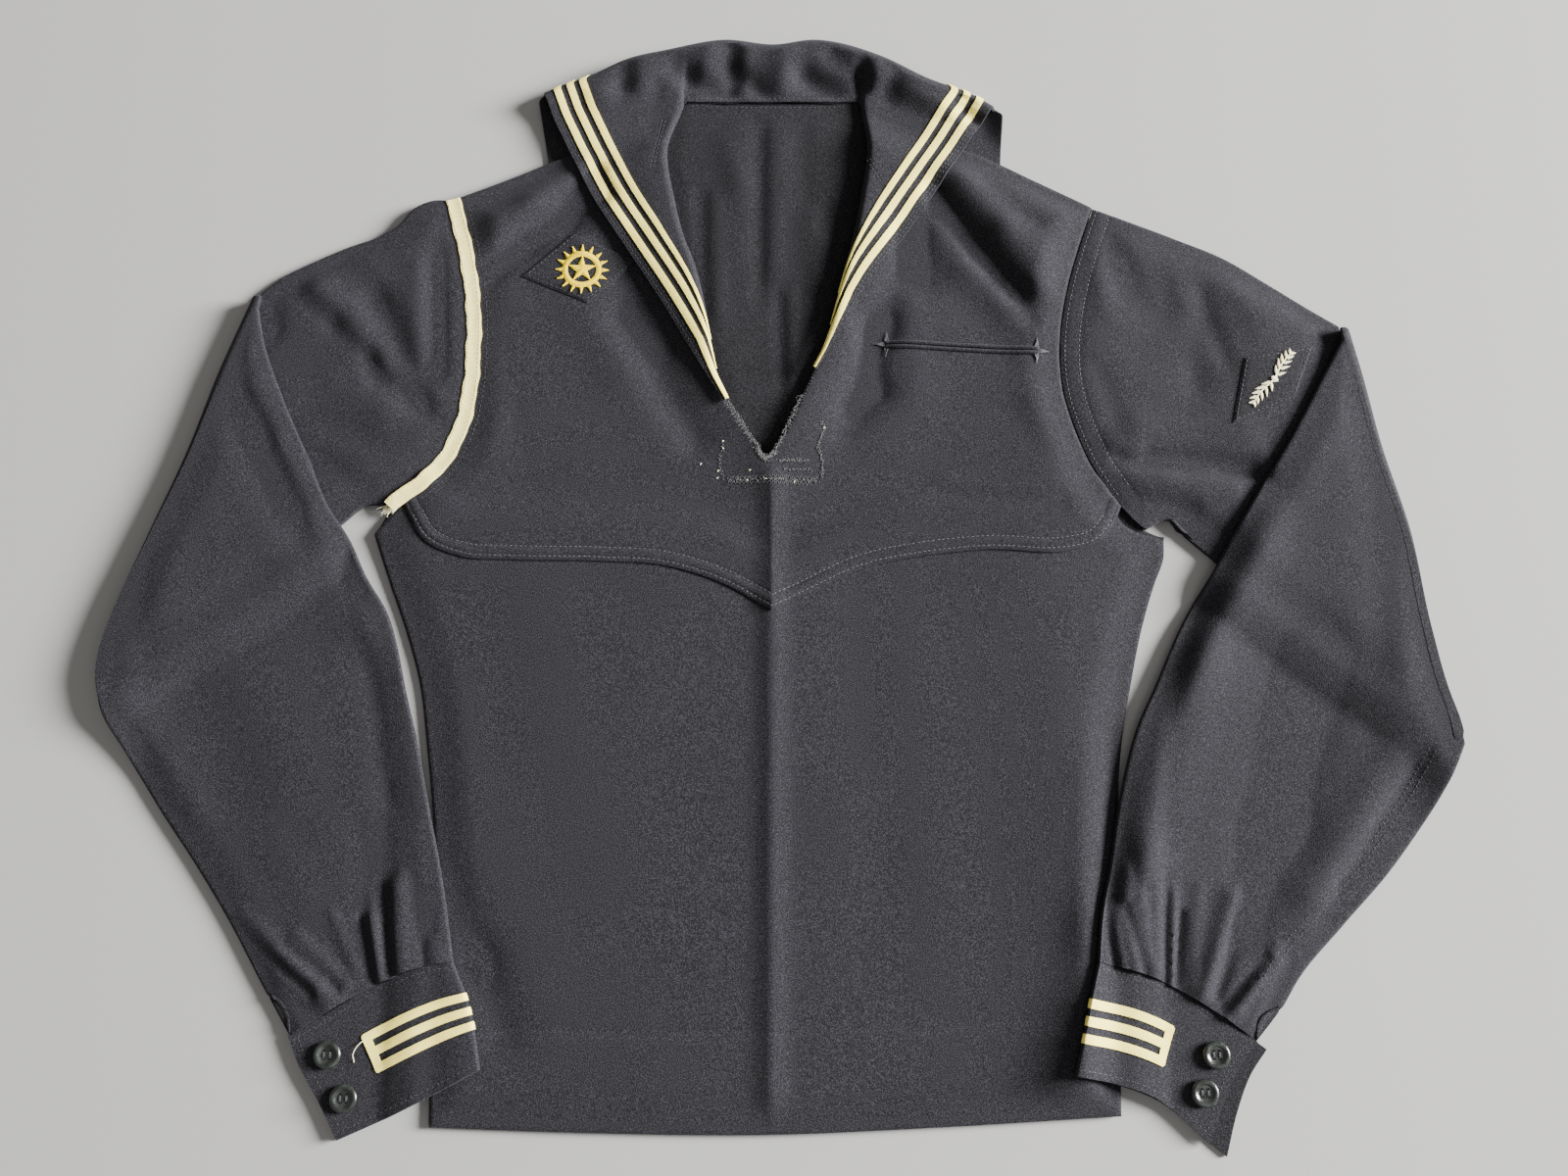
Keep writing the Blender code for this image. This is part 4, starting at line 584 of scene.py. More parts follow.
def folds(x, y, table):
    """Sum of the soft ridges and troughs of a table of folds."""
    total = np.zeros(np.shape(x))
    for ax, ay, bx, by, height, width in table:
        total = total + FOLD_DEPTH * height * bell(segment_distance(x, y, (ax, ay), (bx, by)), width)
    return total


def sewn_dents(distance, table):
    """How deep rows of sewing press the cloth at a distance from its edge."""
    return sum(depth * bell(distance - place, width) for place, depth, width in table)


# ---- heights of the stacked layers ----

UPPER_SHARES = np.concatenate([np.arange(0.0, 0.12, 0.0065), np.linspace(0.12, 1.0, UPPER_SLEEVE_ROWS)])

BODY_OUTLINE = np.vstack([line(HEM, 8)[:-1], line(SIDE_LEFT, 12)[:-1], ARMHOLE_LEFT[::-1],
                          SHOULDER_LEFT[1:-1], NECK[::-1], SHOULDER_RIGHT[::-1][1:-1],
                          ARMHOLE_RIGHT, line(SIDE_RIGHT, 12)[::-1][1:-1]])


def back_low(x, y):
    """Underside of the back: on the surface, but raised where it covers the collar's flap."""
    return (DOUBLE_WOOL + LAYER_GAP) * ease((y - FLAP_CORNERS[1][1] + FLAP_MARGIN + FLAP_SLOPE) / FLAP_SLOPE)


def front_low(x, y):
    """Underside of the front, standing off the back a little away from its edges."""
    away = ease(inside_distance(x, y, BODY_OUTLINE) / PANEL_EDGE)
    loft = PANEL_LOFT + V_RIDGE * bell(slash_distance(x, y), SLASH_EDGE)
    loft = loft + folds(x, y, BODY_FOLDS + FINE_BODY_FOLDS)
    return back_low(x, y) + WOOL + LAYER_GAP + np.maximum(loft, 0.0) * away + seam_puff(x, y)


def slash_distance(x, y):
    """Distance to the two cut edges of the neck slash."""
    return np.minimum(line_distance(x, y, SLASH_RIGHT[3:]), line_distance(x, y, SLASH_LEFT[3:]))


def front_thickness(x, y):
    """The lower front is thicker where its hem is turned up."""
    return WOOL + HEM_EXTRA * ease((height_table(HEM, x) + HEM_DEPTH - y) / HEM_STEP)


def front_top(x, y):
    return front_low(x, y) + front_thickness(x, y)


def yoke_low(x, y):
    """Underside of the yoke: on the back, and stepping up over the lower front's top edge."""
    lap = 1.0 - ease((y - height_table(FRONT_TOP, x) - LAP_START) / LAP_STEP)
    return front_low(x, y) + (WOOL + LAYER_GAP) * lap


def yoke_top(x, y):
    return yoke_low(x, y) + WOOL


def body_support(x, y):
    """Height of the body under a sleeve or cuff, easing down to the surface outside it."""
    edge = ease((inside_distance(x, y, BODY_OUTLINE) + OFF_BODY_START) / OFF_BODY_STEP)
    return front_top(x, y) * edge


def resting(support):
    """Underside of cloth that lies on a support, or on the surface where there is none."""
    return support + REST_GAP * ease(support / (2 * REST_GAP))


# ---- sleeves ----

def sleeve_borders(sleeve, armhole):
    """Borders of the two lengths of a sleeve, with the fold moved in by its own height."""
    fold = line(sleeve["fold"], STATIONS)
    chord = fold[-1] - fold[0]
    outward = np.array([chord[1], -chord[0]]) / np.linalg.norm(chord)
    if outward[0] * fold[0][0] < 0:
        outward = -outward
    axis_line = fold - outward * sleeve["fold_height"]
    start = along(armhole, 0, SLEEVE_ROW, STATIONS) + np.array([np.sign(fold[0][0]) * SEAM, 0.0])
    end = line(sleeve["seam"], STATIONS) + np.array([0.0, SEAM])
    upper = {
        "start": start, "end": axis_line,
        "overarm": ended(line(sleeve["overarm"], UPPER_SHARES), start[0], axis_line[0]),
        "underarm": ended(line(sleeve["underarm"], UPPER_SHARES), start[-1], axis_line[-1]),
    }
    lower = {
        "start": axis_line, "end": end,
        "overarm": ended(line(sleeve["inner"], LOWER_SLEEVE_ROWS), axis_line[0], end[0]),
        "underarm": ended(line(sleeve["outer"], LOWER_SLEEVE_ROWS), axis_line[-1], end[-1]),
    }
    return upper, lower, outward


def ended(points, first, last):
    """A border with its two ends moved to the corners."""
    points = points.copy()
    points[0], points[-1] = first, last
    return points


def border_loop(borders):
    """The four borders of a length of sleeve as one closed outline."""
    return np.vstack([borders["start"], borders["underarm"][1:], borders["end"][::-1][1:],
                      borders["overarm"][::-1][1:-1]])


def edge_turn(end, inward, middle, height, reach, opened, way):
    """Points from a tube's edge round to its face: way is 1 for the upper face, -1 for the lower."""
    points = []
    for step in range(EDGE_TURNS):
        angle = 0.5 * math.pi * step / EDGE_TURNS
        rise = height * (opened + (1.0 - opened) * math.sin(angle))
        points.append((*(end + inward * reach * (1.0 - math.cos(angle))), middle + way * rise))
    return points


def ring(top, under, top_z, under_z, opened=0.0):
    """One section of a flattened tube, from its outer edge over the top, round and back under.

    top and under are the stations from the inner edge to the outer edge. opened parts the tube's
    outer edge: 0 leaves it closed and 1 leaves two separate free edges.
    """
    turns = {}
    for name, line_of, ends in (("outer", top, (-1, -2)), ("outer_under", under, (-1, -2)),
                                ("inner", top, (0, 1))):
        end, beside = line_of[ends[0]], line_of[ends[1]]
        space = np.linalg.norm(beside - end)
        height = (top_z[ends[0]] - under_z[ends[0]]) / 2
        middle = (top_z[ends[0]] + under_z[ends[0]]) / 2
        turns[name] = (end, (beside - end) / space, middle, height, min(height, 0.9 * space))
    points = edge_turn(*turns["outer"], opened, 1)
    points += [(*top[index], top_z[index]) for index in range(len(top) - 2, 0, -1)]
    points += edge_turn(*turns["inner"], 0.0, 1)[::-1]
    points += edge_turn(*turns["inner"], 0.0, -1)[1:]
    points += [(*under[index], under_z[index]) for index in range(1, len(under) - 1)]
    points += edge_turn(*turns["outer_under"], opened, -1)[::-1]
    return points


def sections(borders, shares=None):
    """Stations across a length of sleeve, section by section from its start to its end."""
    grid = patch(borders["overarm"], borders["underarm"], borders["start"], borders["end"], shares)
    return np.swapaxes(grid, 0, 1)


def upper_low(x, y, armhole):
    """Underside of the sleeve's first length, level with the back at the armhole."""
    return back_low(x, y) * (1.0 - ease(line_distance(x, y, armhole) / OFF_ARMHOLE))


def upper_top(x, y, armhole, outline, table):
    """Top of the sleeve's first length."""
    away = ease(inside_distance(x, y, outline) / UPPER_EDGE)
    full = ease(line_distance(x, y, armhole) / ARMHOLE_EASE)
    height = ARMHOLE_HEIGHT + (TUBE_HEIGHT - ARMHOLE_HEIGHT) * full
    loft = np.maximum(SLEEVE_LOFT + folds(x, y, table), 0.0) * away
    dents = sewn_dents(line_distance(x, y, ARMHOLE_LEFT[:YOKE_ROW + 1]), ARMHOLE_DENTS)
    return upper_low(x, y, armhole) + height + loft - dents + seam_puff(x, y)


def seam_puff(x, y):
    """The cloth stands up on both sides of the armhole seams, with a groove along the seam."""
    rise = np.zeros(np.shape(x))
    for armhole in (ARMHOLE_RIGHT, ARMHOLE_LEFT):
        distance = line_distance(x, y, armhole[:YOKE_ROW + 1])
        rise = rise + ARMHOLE_PUFF * bell(distance, ARMHOLE_PUFF_WIDTH)
        rise = rise - SEAM_GROOVE * bell(distance, SEAM_GROOVE_WIDTH)
    return rise


def over_fold(last, axis, outward):
    """Sections that carry a sleeve's last one round the elbow fold."""
    made = []
    radius = axis - last[:, 2]
    for turn in range(1, TURN_ROWS + 1):
        angle = np.pi * turn / TURN_ROWS
        turned = last.copy()
        turned[:, :2] += outward * (radius * np.sin(angle))[:, None]
        turned[:, 2] = axis - radius * np.cos(angle)
        made.append(turned)
    return made


def sleeve_rings(sleeve, armhole, upper_folds, lower_folds):
    """Sections from the armhole to the elbow fold, over it, and on to the cuff."""
    upper, lower, outward = sleeve_borders(sleeve, armhole)
    upper_outline, lower_outline = border_loop(upper), border_loop(lower)
    axis = sleeve["fold_height"]
    rings, tops = [], []
    for stations in sections(upper, UPPER_SHARES):
        x, y = stations.T
        top_z = upper_top(x, y, armhole, upper_outline, upper_folds)
        rings.append(np.array(ring(stations, stations, top_z, upper_low(x, y, armhole))))
    rings += over_fold(rings[-1], axis, outward)
    # past the fold the layers have changed places, so each section is read from below upwards
    grid = sections(lower)
    for row in range(1, len(grid)):
        share = row / (len(grid) - 1)
        stations = grid[row]
        x, y = stations.T
        beneath = ease((inside_distance(x, y, upper_outline) + OFF_SLEEVE_START) / OFF_SLEEVE_STEP)
        sleeve_beneath = upper_top(x, y, armhole, upper_outline, upper_folds) * beneath
        support = np.maximum(sleeve_beneath, body_support(x, y))
        settled = ease(share / SETTLE_SHARE)
        low = (2 * axis - TUBE_HEIGHT) * (1 - settled) + resting(support) * settled
        away = ease(inside_distance(x, y, lower_outline) / LOWER_EDGE)
        # the pleats stay full up to the cuff seam
        pleated = ease((share - PLEAT_FROM) / (PLEAT_FULL - PLEAT_FROM))
        away = np.maximum(away, pleated * ease(across_tube(len(stations))))
        high = low + TUBE_HEIGHT + np.maximum(SLEEVE_LOFT + folds(x, y, lower_folds), 0.0) * away
        opened, slit = 0.0, 0.0
        from_end = len(grid) - 1 - row
        if from_end < SLIT_ROWS:
            opened = 1.0
            slit = SLIT_WIDTH * np.sin(np.pi * (from_end + 0.5) / (SLIT_ROWS + 1))
        top = stations.copy()
        top[-1] += (top[-2] - top[-1]) / np.linalg.norm(top[-2] - top[-1]) * slit
        rings.append(np.array(ring(top, stations, high, low, opened))[::-1])
        tops.append(np.column_stack([top, high]))
    return rings, np.array(tops)


def across_tube(count):
    """0 at both edges of a tube and 1 from a tenth of its width inwards."""
    share = np.linspace(0.0, 1.0, count)
    return np.minimum(share, 1 - share) / 0.1


def grid_faces(rows, columns, offset=0):
    """Four-sided faces between neighbouring rows and columns of points."""
    faces = []
    for row in range(rows - 1):
        for column in range(columns - 1):
            corner = offset + row * columns + column
            faces.append((corner, corner + 1, corner + columns + 1, corner + columns))
    return faces


def normals_of(grid):
    """Unit normals of a grid of points, up where the grid lies flat and faces up."""
    along = np.gradient(grid, axis=0)
    across = np.gradient(grid, axis=1)
    normal = np.cross(across, along)
    return normal / np.linalg.norm(normal, axis=2, keepdims=True)


def on_grid(grid, row, column):
    """Point of a grid between its rows and columns."""
    row_low = np.clip(int(np.floor(row)), 0, grid.shape[0] - 2)
    column_low = np.clip(int(np.floor(column)), 0, grid.shape[1] - 2)
    v, u = row - row_low, column - column_low
    lower = (1 - u) * grid[row_low, column_low] + u * grid[row_low, column_low + 1]
    upper = (1 - u) * grid[row_low + 1, column_low] + u * grid[row_low + 1, column_low + 1]
    return (1 - v) * lower + v * upper


def collar_grid(edge, fold):
    """Outer face of one lapel from its tip to the shoulder: rows up, columns from edge to fold."""
    outer, inner = line(edge, LAPEL_ROWS), line(fold, LAPEL_ROWS)
    shares = LAPEL_SHARES[None, :, None]
    flat = outer[:, None] * (1 - shares) + inner[:, None] * shares
    width = np.linalg.norm(inner - outer, axis=1)[:, None]
    radius = np.minimum(LAPEL_ROLL, 0.6 * width)
    round_off = np.clip(1.0 - (1.0 - LAPEL_SHARES) * width / radius, 0.0, 1.0)
    drop = radius * (1.0 - np.sqrt(1.0 - 0.98 * round_off**2))
    return np.dstack([flat, lapel_top(flat[..., 0], flat[..., 1]) - drop])


def lapel_top(x, y):
    """Outer face of the collar where it lies on the yoke."""
    lift = LAPEL_LIFT * ease((y - LAPEL_LIFT_START) / LAPEL_LIFT_STEP)
    lift = lift + LAPEL_FOLD_SHARE * folds(x, y, COLLAR_FOLDS)
    return yoke_top(x, y) + LAYER_GAP + TRIM_GAP + DOUBLE_WOOL + lift


def roll_radius(x):
    """Radius of the collar's turn, smaller towards its two edges."""
    inwards = ease((ROLL_HALF_WIDTH - np.abs(x)) / ROLL_TAPER)
    return ROLL_RADIUS_AT_EDGE + (ROLL_RADIUS - ROLL_RADIUS_AT_EDGE) * inwards


def collar_roll(level, roll_x, end_x):
    """The collar from its level row at the shoulders, over the roll and back under as the flap."""
    side_x, side_y = level[:, 0], level[:, 1]
    crest_x = side_x + CREST_SHARE * (roll_x - side_x)
    reach = height_table(ROLL_REACH, crest_x)
    radius = roll_radius(roll_x)
    from_side = np.minimum(roll_x - roll_x[0], roll_x[-1] - roll_x)
    curl = FLAP_CURL * bell(from_side, FLAP_CURL_WIDTH)

    def widened(y):
        """x on the way from the shoulders to the crest."""
        return side_x + (crest_x - side_x) * (y - side_y) / (reach - side_y)

    rows = [level]
    for share in np.arange(1, RISE_ROWS + 1) / RISE_ROWS:
        y = side_y * (1 - share) + (reach - radius) * share
        x = widened(y)
        z = level[:, 2] * (1 - ease(share)) + 2 * radius * ease(share)
        z = z + ROLL_FOLD_SHARE * np.sin(np.pi * min(share, 0.8)) * folds(x, y, COLLAR_FOLDS)
        rows.append(np.column_stack([x, y, z]))
    for angle in np.pi * np.arange(1, TURN_ROWS + 1) / TURN_ROWS:
        y = reach - radius + radius * np.sin(angle)
        under = ease(2 * angle / np.pi - 1)
        x = widened(y) if angle < np.pi / 2 else crest_x + (roll_x - crest_x) * under
        rows.append(np.column_stack([x, y, radius + radius * np.cos(angle) + curl * under]))
    end_y = np.interp(end_x, *np.transpose(FLAP_CORNERS))
    for share in (np.arange(1, FLAP_ROWS + 1) / FLAP_ROWS) ** FLAP_ROW_POWER:
        x = roll_x * (1 - share) + end_x * share
        y = (reach - radius) * (1 - share) + end_y * share
        flat = ease((reach - radius - y) / FLAP_CURL_LENGTH)
        rows.append(np.column_stack([x, y, curl * (1 - flat)]))
    return np.array(rows)


def collar_parts():
    """The two lapel grids and the grid of the roll and flap, which share their borders."""
    right = collar_grid(COLLAR_EDGE_RIGHT, COLLAR_FOLD_RIGHT)
    left = collar_grid(COLLAR_EDGE_LEFT, COLLAR_FOLD_LEFT)
    neck_x = np.linspace(COLLAR_FOLD_RIGHT[-1][0], COLLAR_FOLD_LEFT[-1][0], NECK_COLUMNS + 1)[1:-1]
    neck_y = np.full(len(neck_x), NECK[3][1] + SEAM)
    neck_z = back_low(neck_x, neck_y) + WOOL + SEAM + DOUBLE_WOOL
    neck = np.column_stack([neck_x, neck_y, neck_z])
    level = np.vstack([right[-1], neck, left[-1][::-1]])
    right_x, left_x = (reach + (fold[-1][0] - reach) * LAPEL_SHARES for reach, fold in (
        (ROLL_REACH[0][0], COLLAR_FOLD_RIGHT), (ROLL_REACH[-1][0], COLLAR_FOLD_LEFT)))
    roll_x = np.concatenate([right_x, neck_x, left_x[::-1]])
    share = (roll_x - roll_x[0]) / (roll_x[-1] - roll_x[0])
    end_x = FLAP_CORNERS[0][0] * (1 - share) + FLAP_CORNERS[1][0] * share
    return right, left, collar_roll(level, roll_x, end_x)


def cuff_rings(cuff):
    """Sections of a cuff from the sleeve seam to the wrist, open all along its outer end."""
    grid = np.swapaxes(patch(line(cuff["inner"], CUFF_ROWS), line(cuff["outer"], CUFF_ROWS),
                             line(cuff["seam"], STATIONS), line(cuff["wrist"], STATIONS)), 0, 1)
    across = np.linspace(0.0, 1.0, STATIONS + 1)[:, None]
    rings = []
    for row, top in enumerate(grid):
        share = SHIFT_AT_SEAM + (1.0 - SHIFT_AT_SEAM) * row / CUFF_ROWS
        under = top + np.array(cuff["under_shift"]) * across**2 * share
        under_low = resting(body_support(*under.T))
        rings.append(ring(top, under, cuff_top(*top.T), under_low, 1.0))
    return np.array(rings)


def cuff_top(x, y):
    """Top of a cuff, on the body or on the surface."""
    return resting(body_support(x, y)) + CUFF_HEIGHT


# ---- outlines and heights of the dressed panels ----

EVEN_CLOSE = (0.0035, 0.008)
BODY_ACROSS = spread(BODY_COLUMNS, (0.0015, 0.0035))
FRONT_CLOSE = (0.0025, 0.006)
YOKE_UP = np.concatenate([
    np.arange(0.0, 0.045, 0.0027), spread(YOKE_ROWS, (0.003, 0.007))[3:] * 0.953 + 0.047])
YOKE_UP[-1] = 1.0
YOKE_ACROSS = spread(YOKE_COLUMNS, EVEN_CLOSE)
YOKE_EDGE = np.vstack([line(YOKE_EDGE_RIGHT, 40), line(YOKE_EDGE_LEFT, 40)[::-1][1:]])
YOKE_OUTLINE = np.vstack([
    line(SHOULDER_RIGHT, 12)[:-1], line(SLASH_RIGHT, 48)[::-1][:-15], line(SLASH_LEFT, 48)[16:-1],
    line(SHOULDER_LEFT, 12)[::-1][:-1], along(ARMHOLE_LEFT, 0, YOKE_ROW, 30)[:-1], YOKE_EDGE[::-1][:-1],
    along(ARMHOLE_RIGHT, 0, YOKE_ROW, 30)[::-1][:-1]])
NECK_OPENING = np.vstack([line(SLASH_RIGHT, 30)[12:], line(SLASH_LEFT, 30)[::-1][:-12]])


def yoke_surface(x, y):
    """Top of the yoke, dented along the two rows of sewing above its lower edge."""
    return yoke_top(x, y) - sewn_dents(line_distance(x, y, YOKE_EDGE), YOKE_DENTS)


def front_surface(x, y):
    """Top of the lower front, dented where its hem is sewn."""
    return front_top(x, y) - sewn_dents(y - height_table(HEM, x) - HEM_DEPTH, HEM_DENTS)


def back_surface(x, y):
    """Inner face of the back, with the folds that show through the neck."""
    shown = ease(inside_distance(x, y, NECK_OPENING) / NECK_EDGE)
    return back_low(x, y) + WOOL + shown * np.maximum(BACK_LOFT + folds(x, y, BACK_FOLDS), 0.0)


def height_at(top, spot):
    """Height of a surface at one place."""
    return float(top(np.array([spot[0]]), np.array([spot[1]]))[0])


# ---- making of pieces ----

def surface(name, points, faces, upward=True, marks=None):
    """Mesh in metres from points in millimetres, welded where grids meet."""
    mesh = bpy.data.meshes.new(name)
    mesh.from_pydata((np.asarray(points, float) * 0.001).tolist(), [], faces)
    if marks is not None:
        layer = mesh.uv_layers.new(name="along_and_across")
        corners = np.empty(len(mesh.loops), dtype=np.int32)
        mesh.loops.foreach_get("vertex_index", corners)
        layer.data.foreach_set("uv", np.asarray(marks, float)[corners].ravel())
    work = bmesh.new()
    work.from_mesh(mesh)
    bmesh.ops.remove_doubles(work, verts=work.verts, dist=0.00002)
    bmesh.ops.recalc_face_normals(work, faces=work.faces)
    lowest = min(vertex.co.z for vertex in work.verts) - 0.001
    facing = sum(face.normal.z * face.calc_area() * (face.calc_center_median().z - lowest)
                 for face in work.faces)
    if (facing > 0) != upward:
        bmesh.ops.reverse_faces(work, faces=work.faces)
    work.to_mesh(mesh)
    work.free()
    return mesh


def linked(name, data):
    """New object of the scene."""
    holder = bpy.data.objects.new(name, data)
    bpy.context.scene.collection.objects.link(holder)
    return holder


def baked(holder):
    """Mesh of an object with its modifiers applied. The object itself is removed."""
    bpy.context.view_layer.update()
    mesh = bpy.data.meshes.new_from_object(holder.evaluated_get(bpy.context.evaluated_depsgraph_get()))
    bpy.data.objects.remove(holder, do_unlink=True)
    return mesh


def placed(name, mesh, finish, node=None):
    """Piece that rides with the garment and may stand for one of its solids."""
    piece = linked(name, mesh)
    mesh.materials.append(finish)
    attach(piece, "root")
    if node:
        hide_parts(node)
    return piece


def walled(mesh, thickness, outward=False):
    """The same surface with a wall grown inwards or outwards."""
    helper = linked("wall_helper", mesh)
    wall = helper.modifiers.new("wall", "SOLIDIFY")
    wall.thickness = 0.001 * thickness
    wall.offset = 1.0 if outward else -1.0
    solid = baked(helper)
    bpy.data.meshes.remove(mesh)
    for vertex in solid.vertices:
        vertex.co.z = max(vertex.co.z, 0.0)
    solid.shade_smooth()
    solid.set_sharp_from_angle(angle=CLOTH_EDGE_ANGLE)
    return solid


def panel(name, node, grids, top, thickness, outline, finish):
    """Cloth panel whose top face follows a height, its edges rounded down."""
    points, faces = [], []
    for grid in grids:
        faces += grid_faces(*grid.shape[:2], len(points))
        x, y = grid[..., 0].ravel(), grid[..., 1].ravel()
        drop = EDGE_DROP * (1.0 - ease(np.abs(inside_distance(x, y, outline)) / EDGE_ROUND))
        points += list(zip(x, y, top(x, y) - drop))
    return placed(name, walled(surface(name, points, faces), thickness), finish, node)


def tube(name, node, rings, thickness):
    """Tube of wool through sections, open at both ends."""
    rings = np.asarray(rings)
    mesh = surface(name, rings.reshape(-1, 3), grid_faces(*rings.shape[:2]))
    return placed(name, walled(mesh, thickness), WOOL_FINISH, node)


def strip(name, node, grid, finish, faces=None):
    """Tape from a grid of points, with marks for its length and width in millimetres."""
    length = run_lengths(grid[:, grid.shape[1] // 2])
    widths = np.linalg.norm(np.diff(grid, axis=1), axis=2)
    width = np.concatenate([np.zeros((len(grid), 1)), np.cumsum(widths, axis=1)], axis=1)
    marks = np.dstack([np.broadcast_to(length[:, None], width.shape), width]).reshape(-1, 2)
    mesh = surface(name, grid.reshape(-1, 3), faces or grid_faces(*grid.shape[:2]), True, marks)
    return placed(name, walled(mesh, TAPE_WALL, True), finish, node)


# ---- finishes ----

class Finish:
    """A material with the nodes that colour and bump it."""

    def __init__(self, name, colour, roughness):
        self.material = bpy.data.materials.new(name)
        self.material.use_nodes = True
        self.nodes, self.links = self.material.node_tree.nodes, self.material.node_tree.links
        self.give("Base Color", (*colour, 1.0))
        self.give("Roughness", roughness)

    def give(self, name, value):
        """Set an input of the surface to a value, or join it to another node."""
        socket = self.nodes["Principled BSDF"].inputs[name]
        if isinstance(value, bpy.types.NodeSocket):
            self.links.new(value, socket)
        else:
            socket.default_value = value

    def place(self):
        return self.nodes.new("ShaderNodeTexCoord").outputs["Object"]

    def noise(self, source, scale, detail=2.0):
        texture = self.nodes.new("ShaderNodeTexNoise")
        texture.inputs["Scale"].default_value = scale
        texture.inputs["Detail"].default_value = detail
        self.links.new(source, texture.inputs["Vector"])
        return texture.outputs["Fac"]

    def ranged(self, source, low, high, to_low=0.0, to_high=1.0):
        """A value from low to high, brought to another range."""
        node = self.nodes.new("ShaderNodeMapRange")
        for key, value in (("From Min", low), ("From Max", high), ("To Min", to_low), ("To Max", to_high)):
            node.inputs[key].default_value = value
        self.links.new(source, node.inputs["Value"])
        return node.outputs["Result"]

    def blended(self, factor, first, second):
        """From the first colour to the second, either of them fixed or from another node."""
        node = self.nodes.new("ShaderNodeMix")
        node.data_type = "RGBA"
        self.links.new(factor, node.inputs["Factor"])
        for key, colour in ((6, first), (7, second)):
            if isinstance(colour, tuple):
                node.inputs[key].default_value = (*colour, 1.0)
            else:
                self.links.new(colour, node.inputs[key])
        return node.outputs[2]

    def bumped(self, height, distance, strength, previous=None):
        node = self.nodes.new("ShaderNodeBump")
        node.inputs["Distance"].default_value = distance
        node.inputs["Strength"].default_value = strength
        self.links.new(height, node.inputs["Height"])
        if previous is not None:
            self.links.new(previous, node.inputs["Normal"])
        return node.outputs["Normal"]

    def bands(self, source, per_metre, angle, distortion):
        """Even bands across a turned direction."""
        mapping = self.nodes.new("ShaderNodeMapping")
        mapping.inputs["Rotation"].default_value = (0.0, 0.0, angle)
        self.links.new(source, mapping.inputs["Vector"])
        wave = self.nodes.new("ShaderNodeTexWave")
        wave.inputs["Scale"].default_value = per_metre * WAVE_SCALE
        wave.inputs["Distortion"].default_value = distortion
        self.links.new(mapping.outputs["Vector"], wave.inputs["Vector"])
        return wave.outputs["Fac"]


def wool(name, dark, light, nap, sheen):
    """Fulled wool serge: faint diagonal ribs under a short nap, with paler fibre ends."""
    finish = Finish(name, dark, 0.92)
    place = finish.place()
    mottle = finish.noise(place, 9.0, 3.0)
    fibres = finish.noise(place, 1500.0, 3.0)
    specks = finish.noise(place, 1700.0, 1.0)
    base = finish.blended(finish.ranged(mottle, 0.3, 0.7), dark, light)
    paler = tuple(3.6 * value + 0.008 for value in light)
    base = finish.blended(finish.ranged(fibres, 0.45, 0.70), base, paler)
    lint = tuple(5.0 * value + 0.03 for value in light)
    base = finish.blended(finish.ranged(specks, 0.70, 0.84, 0.0, 0.8), base, lint)
    finish.give("Base Color", base)
    normal = finish.bumped(finish.bands(place, 900.0, math.radians(63.0), 1.2), 0.00018, 0.35)
    normal = finish.bumped(fibres, 0.0006, nap, normal)
    normal = finish.bumped(finish.noise(place, 210.0, 3.0), 0.0005, 0.16, normal)
    finish.give("Normal", normal)
    finish.give("Specular IOR Level", 0.12)
    finish.give("Sheen Weight", sheen)
    finish.give("Sheen Roughness", 0.45)
    finish.give("Sheen Tint", (0.62, 0.64, 0.72, 1.0))
    return finish.material


def tape_finish(name, colour, worn):
    """Narrow woven tape: ribs across, a thicker edge on each side and slight soiling."""
    finish = Finish(name, colour, 0.8)
    marks = finish.nodes.new("ShaderNodeUVMap").outputs["UV"]
    place = finish.place()
    soil = finish.noise(place, 55.0, 4.0)
    threads = finish.noise(place, 1500.0, 2.0)
    base = finish.blended(finish.ranged(soil, 0.35, 0.75, 0.0, 0.9), colour, worn)
    darker = tuple(0.80 * value for value in worn)
    finish.give("Base Color", finish.blended(finish.ranged(threads, 0.55, 0.8, 0.0, 0.6), base, darker))
    normal = finish.bumped(finish.bands(marks, 1.15, 0.0, 0.3), 0.0003, 0.55)
    normal = finish.bumped(finish.bands(marks, 1.4, math.radians(90.0), 0.2), 0.0003, 0.4, normal)
    finish.give("Normal", finish.bumped(threads, 0.0003, 0.5, normal))
    finish.give("Specular IOR Level", 0.2)
    finish.give("Sheen Weight", 0.1)
    return finish.material


def thread_finish(name, colour, variation, roughness=0.6, gloss=0.5):
    """Spun thread, uneven in colour from place to place."""
    finish = Finish(name, colour, roughness)
    place = finish.place()
    finish.give("Base Color", finish.blended(finish.ranged(finish.noise(place, 700.0), 0.35, 0.7),
                                             colour, variation))
    finish.give("Normal", finish.bumped(finish.noise(place, 2500.0, 1.0), 0.0002, 0.5))
    finish.give("Specular IOR Level", gloss)
    finish.give("Sheen Weight", 0.3 * gloss)
    return finish.material


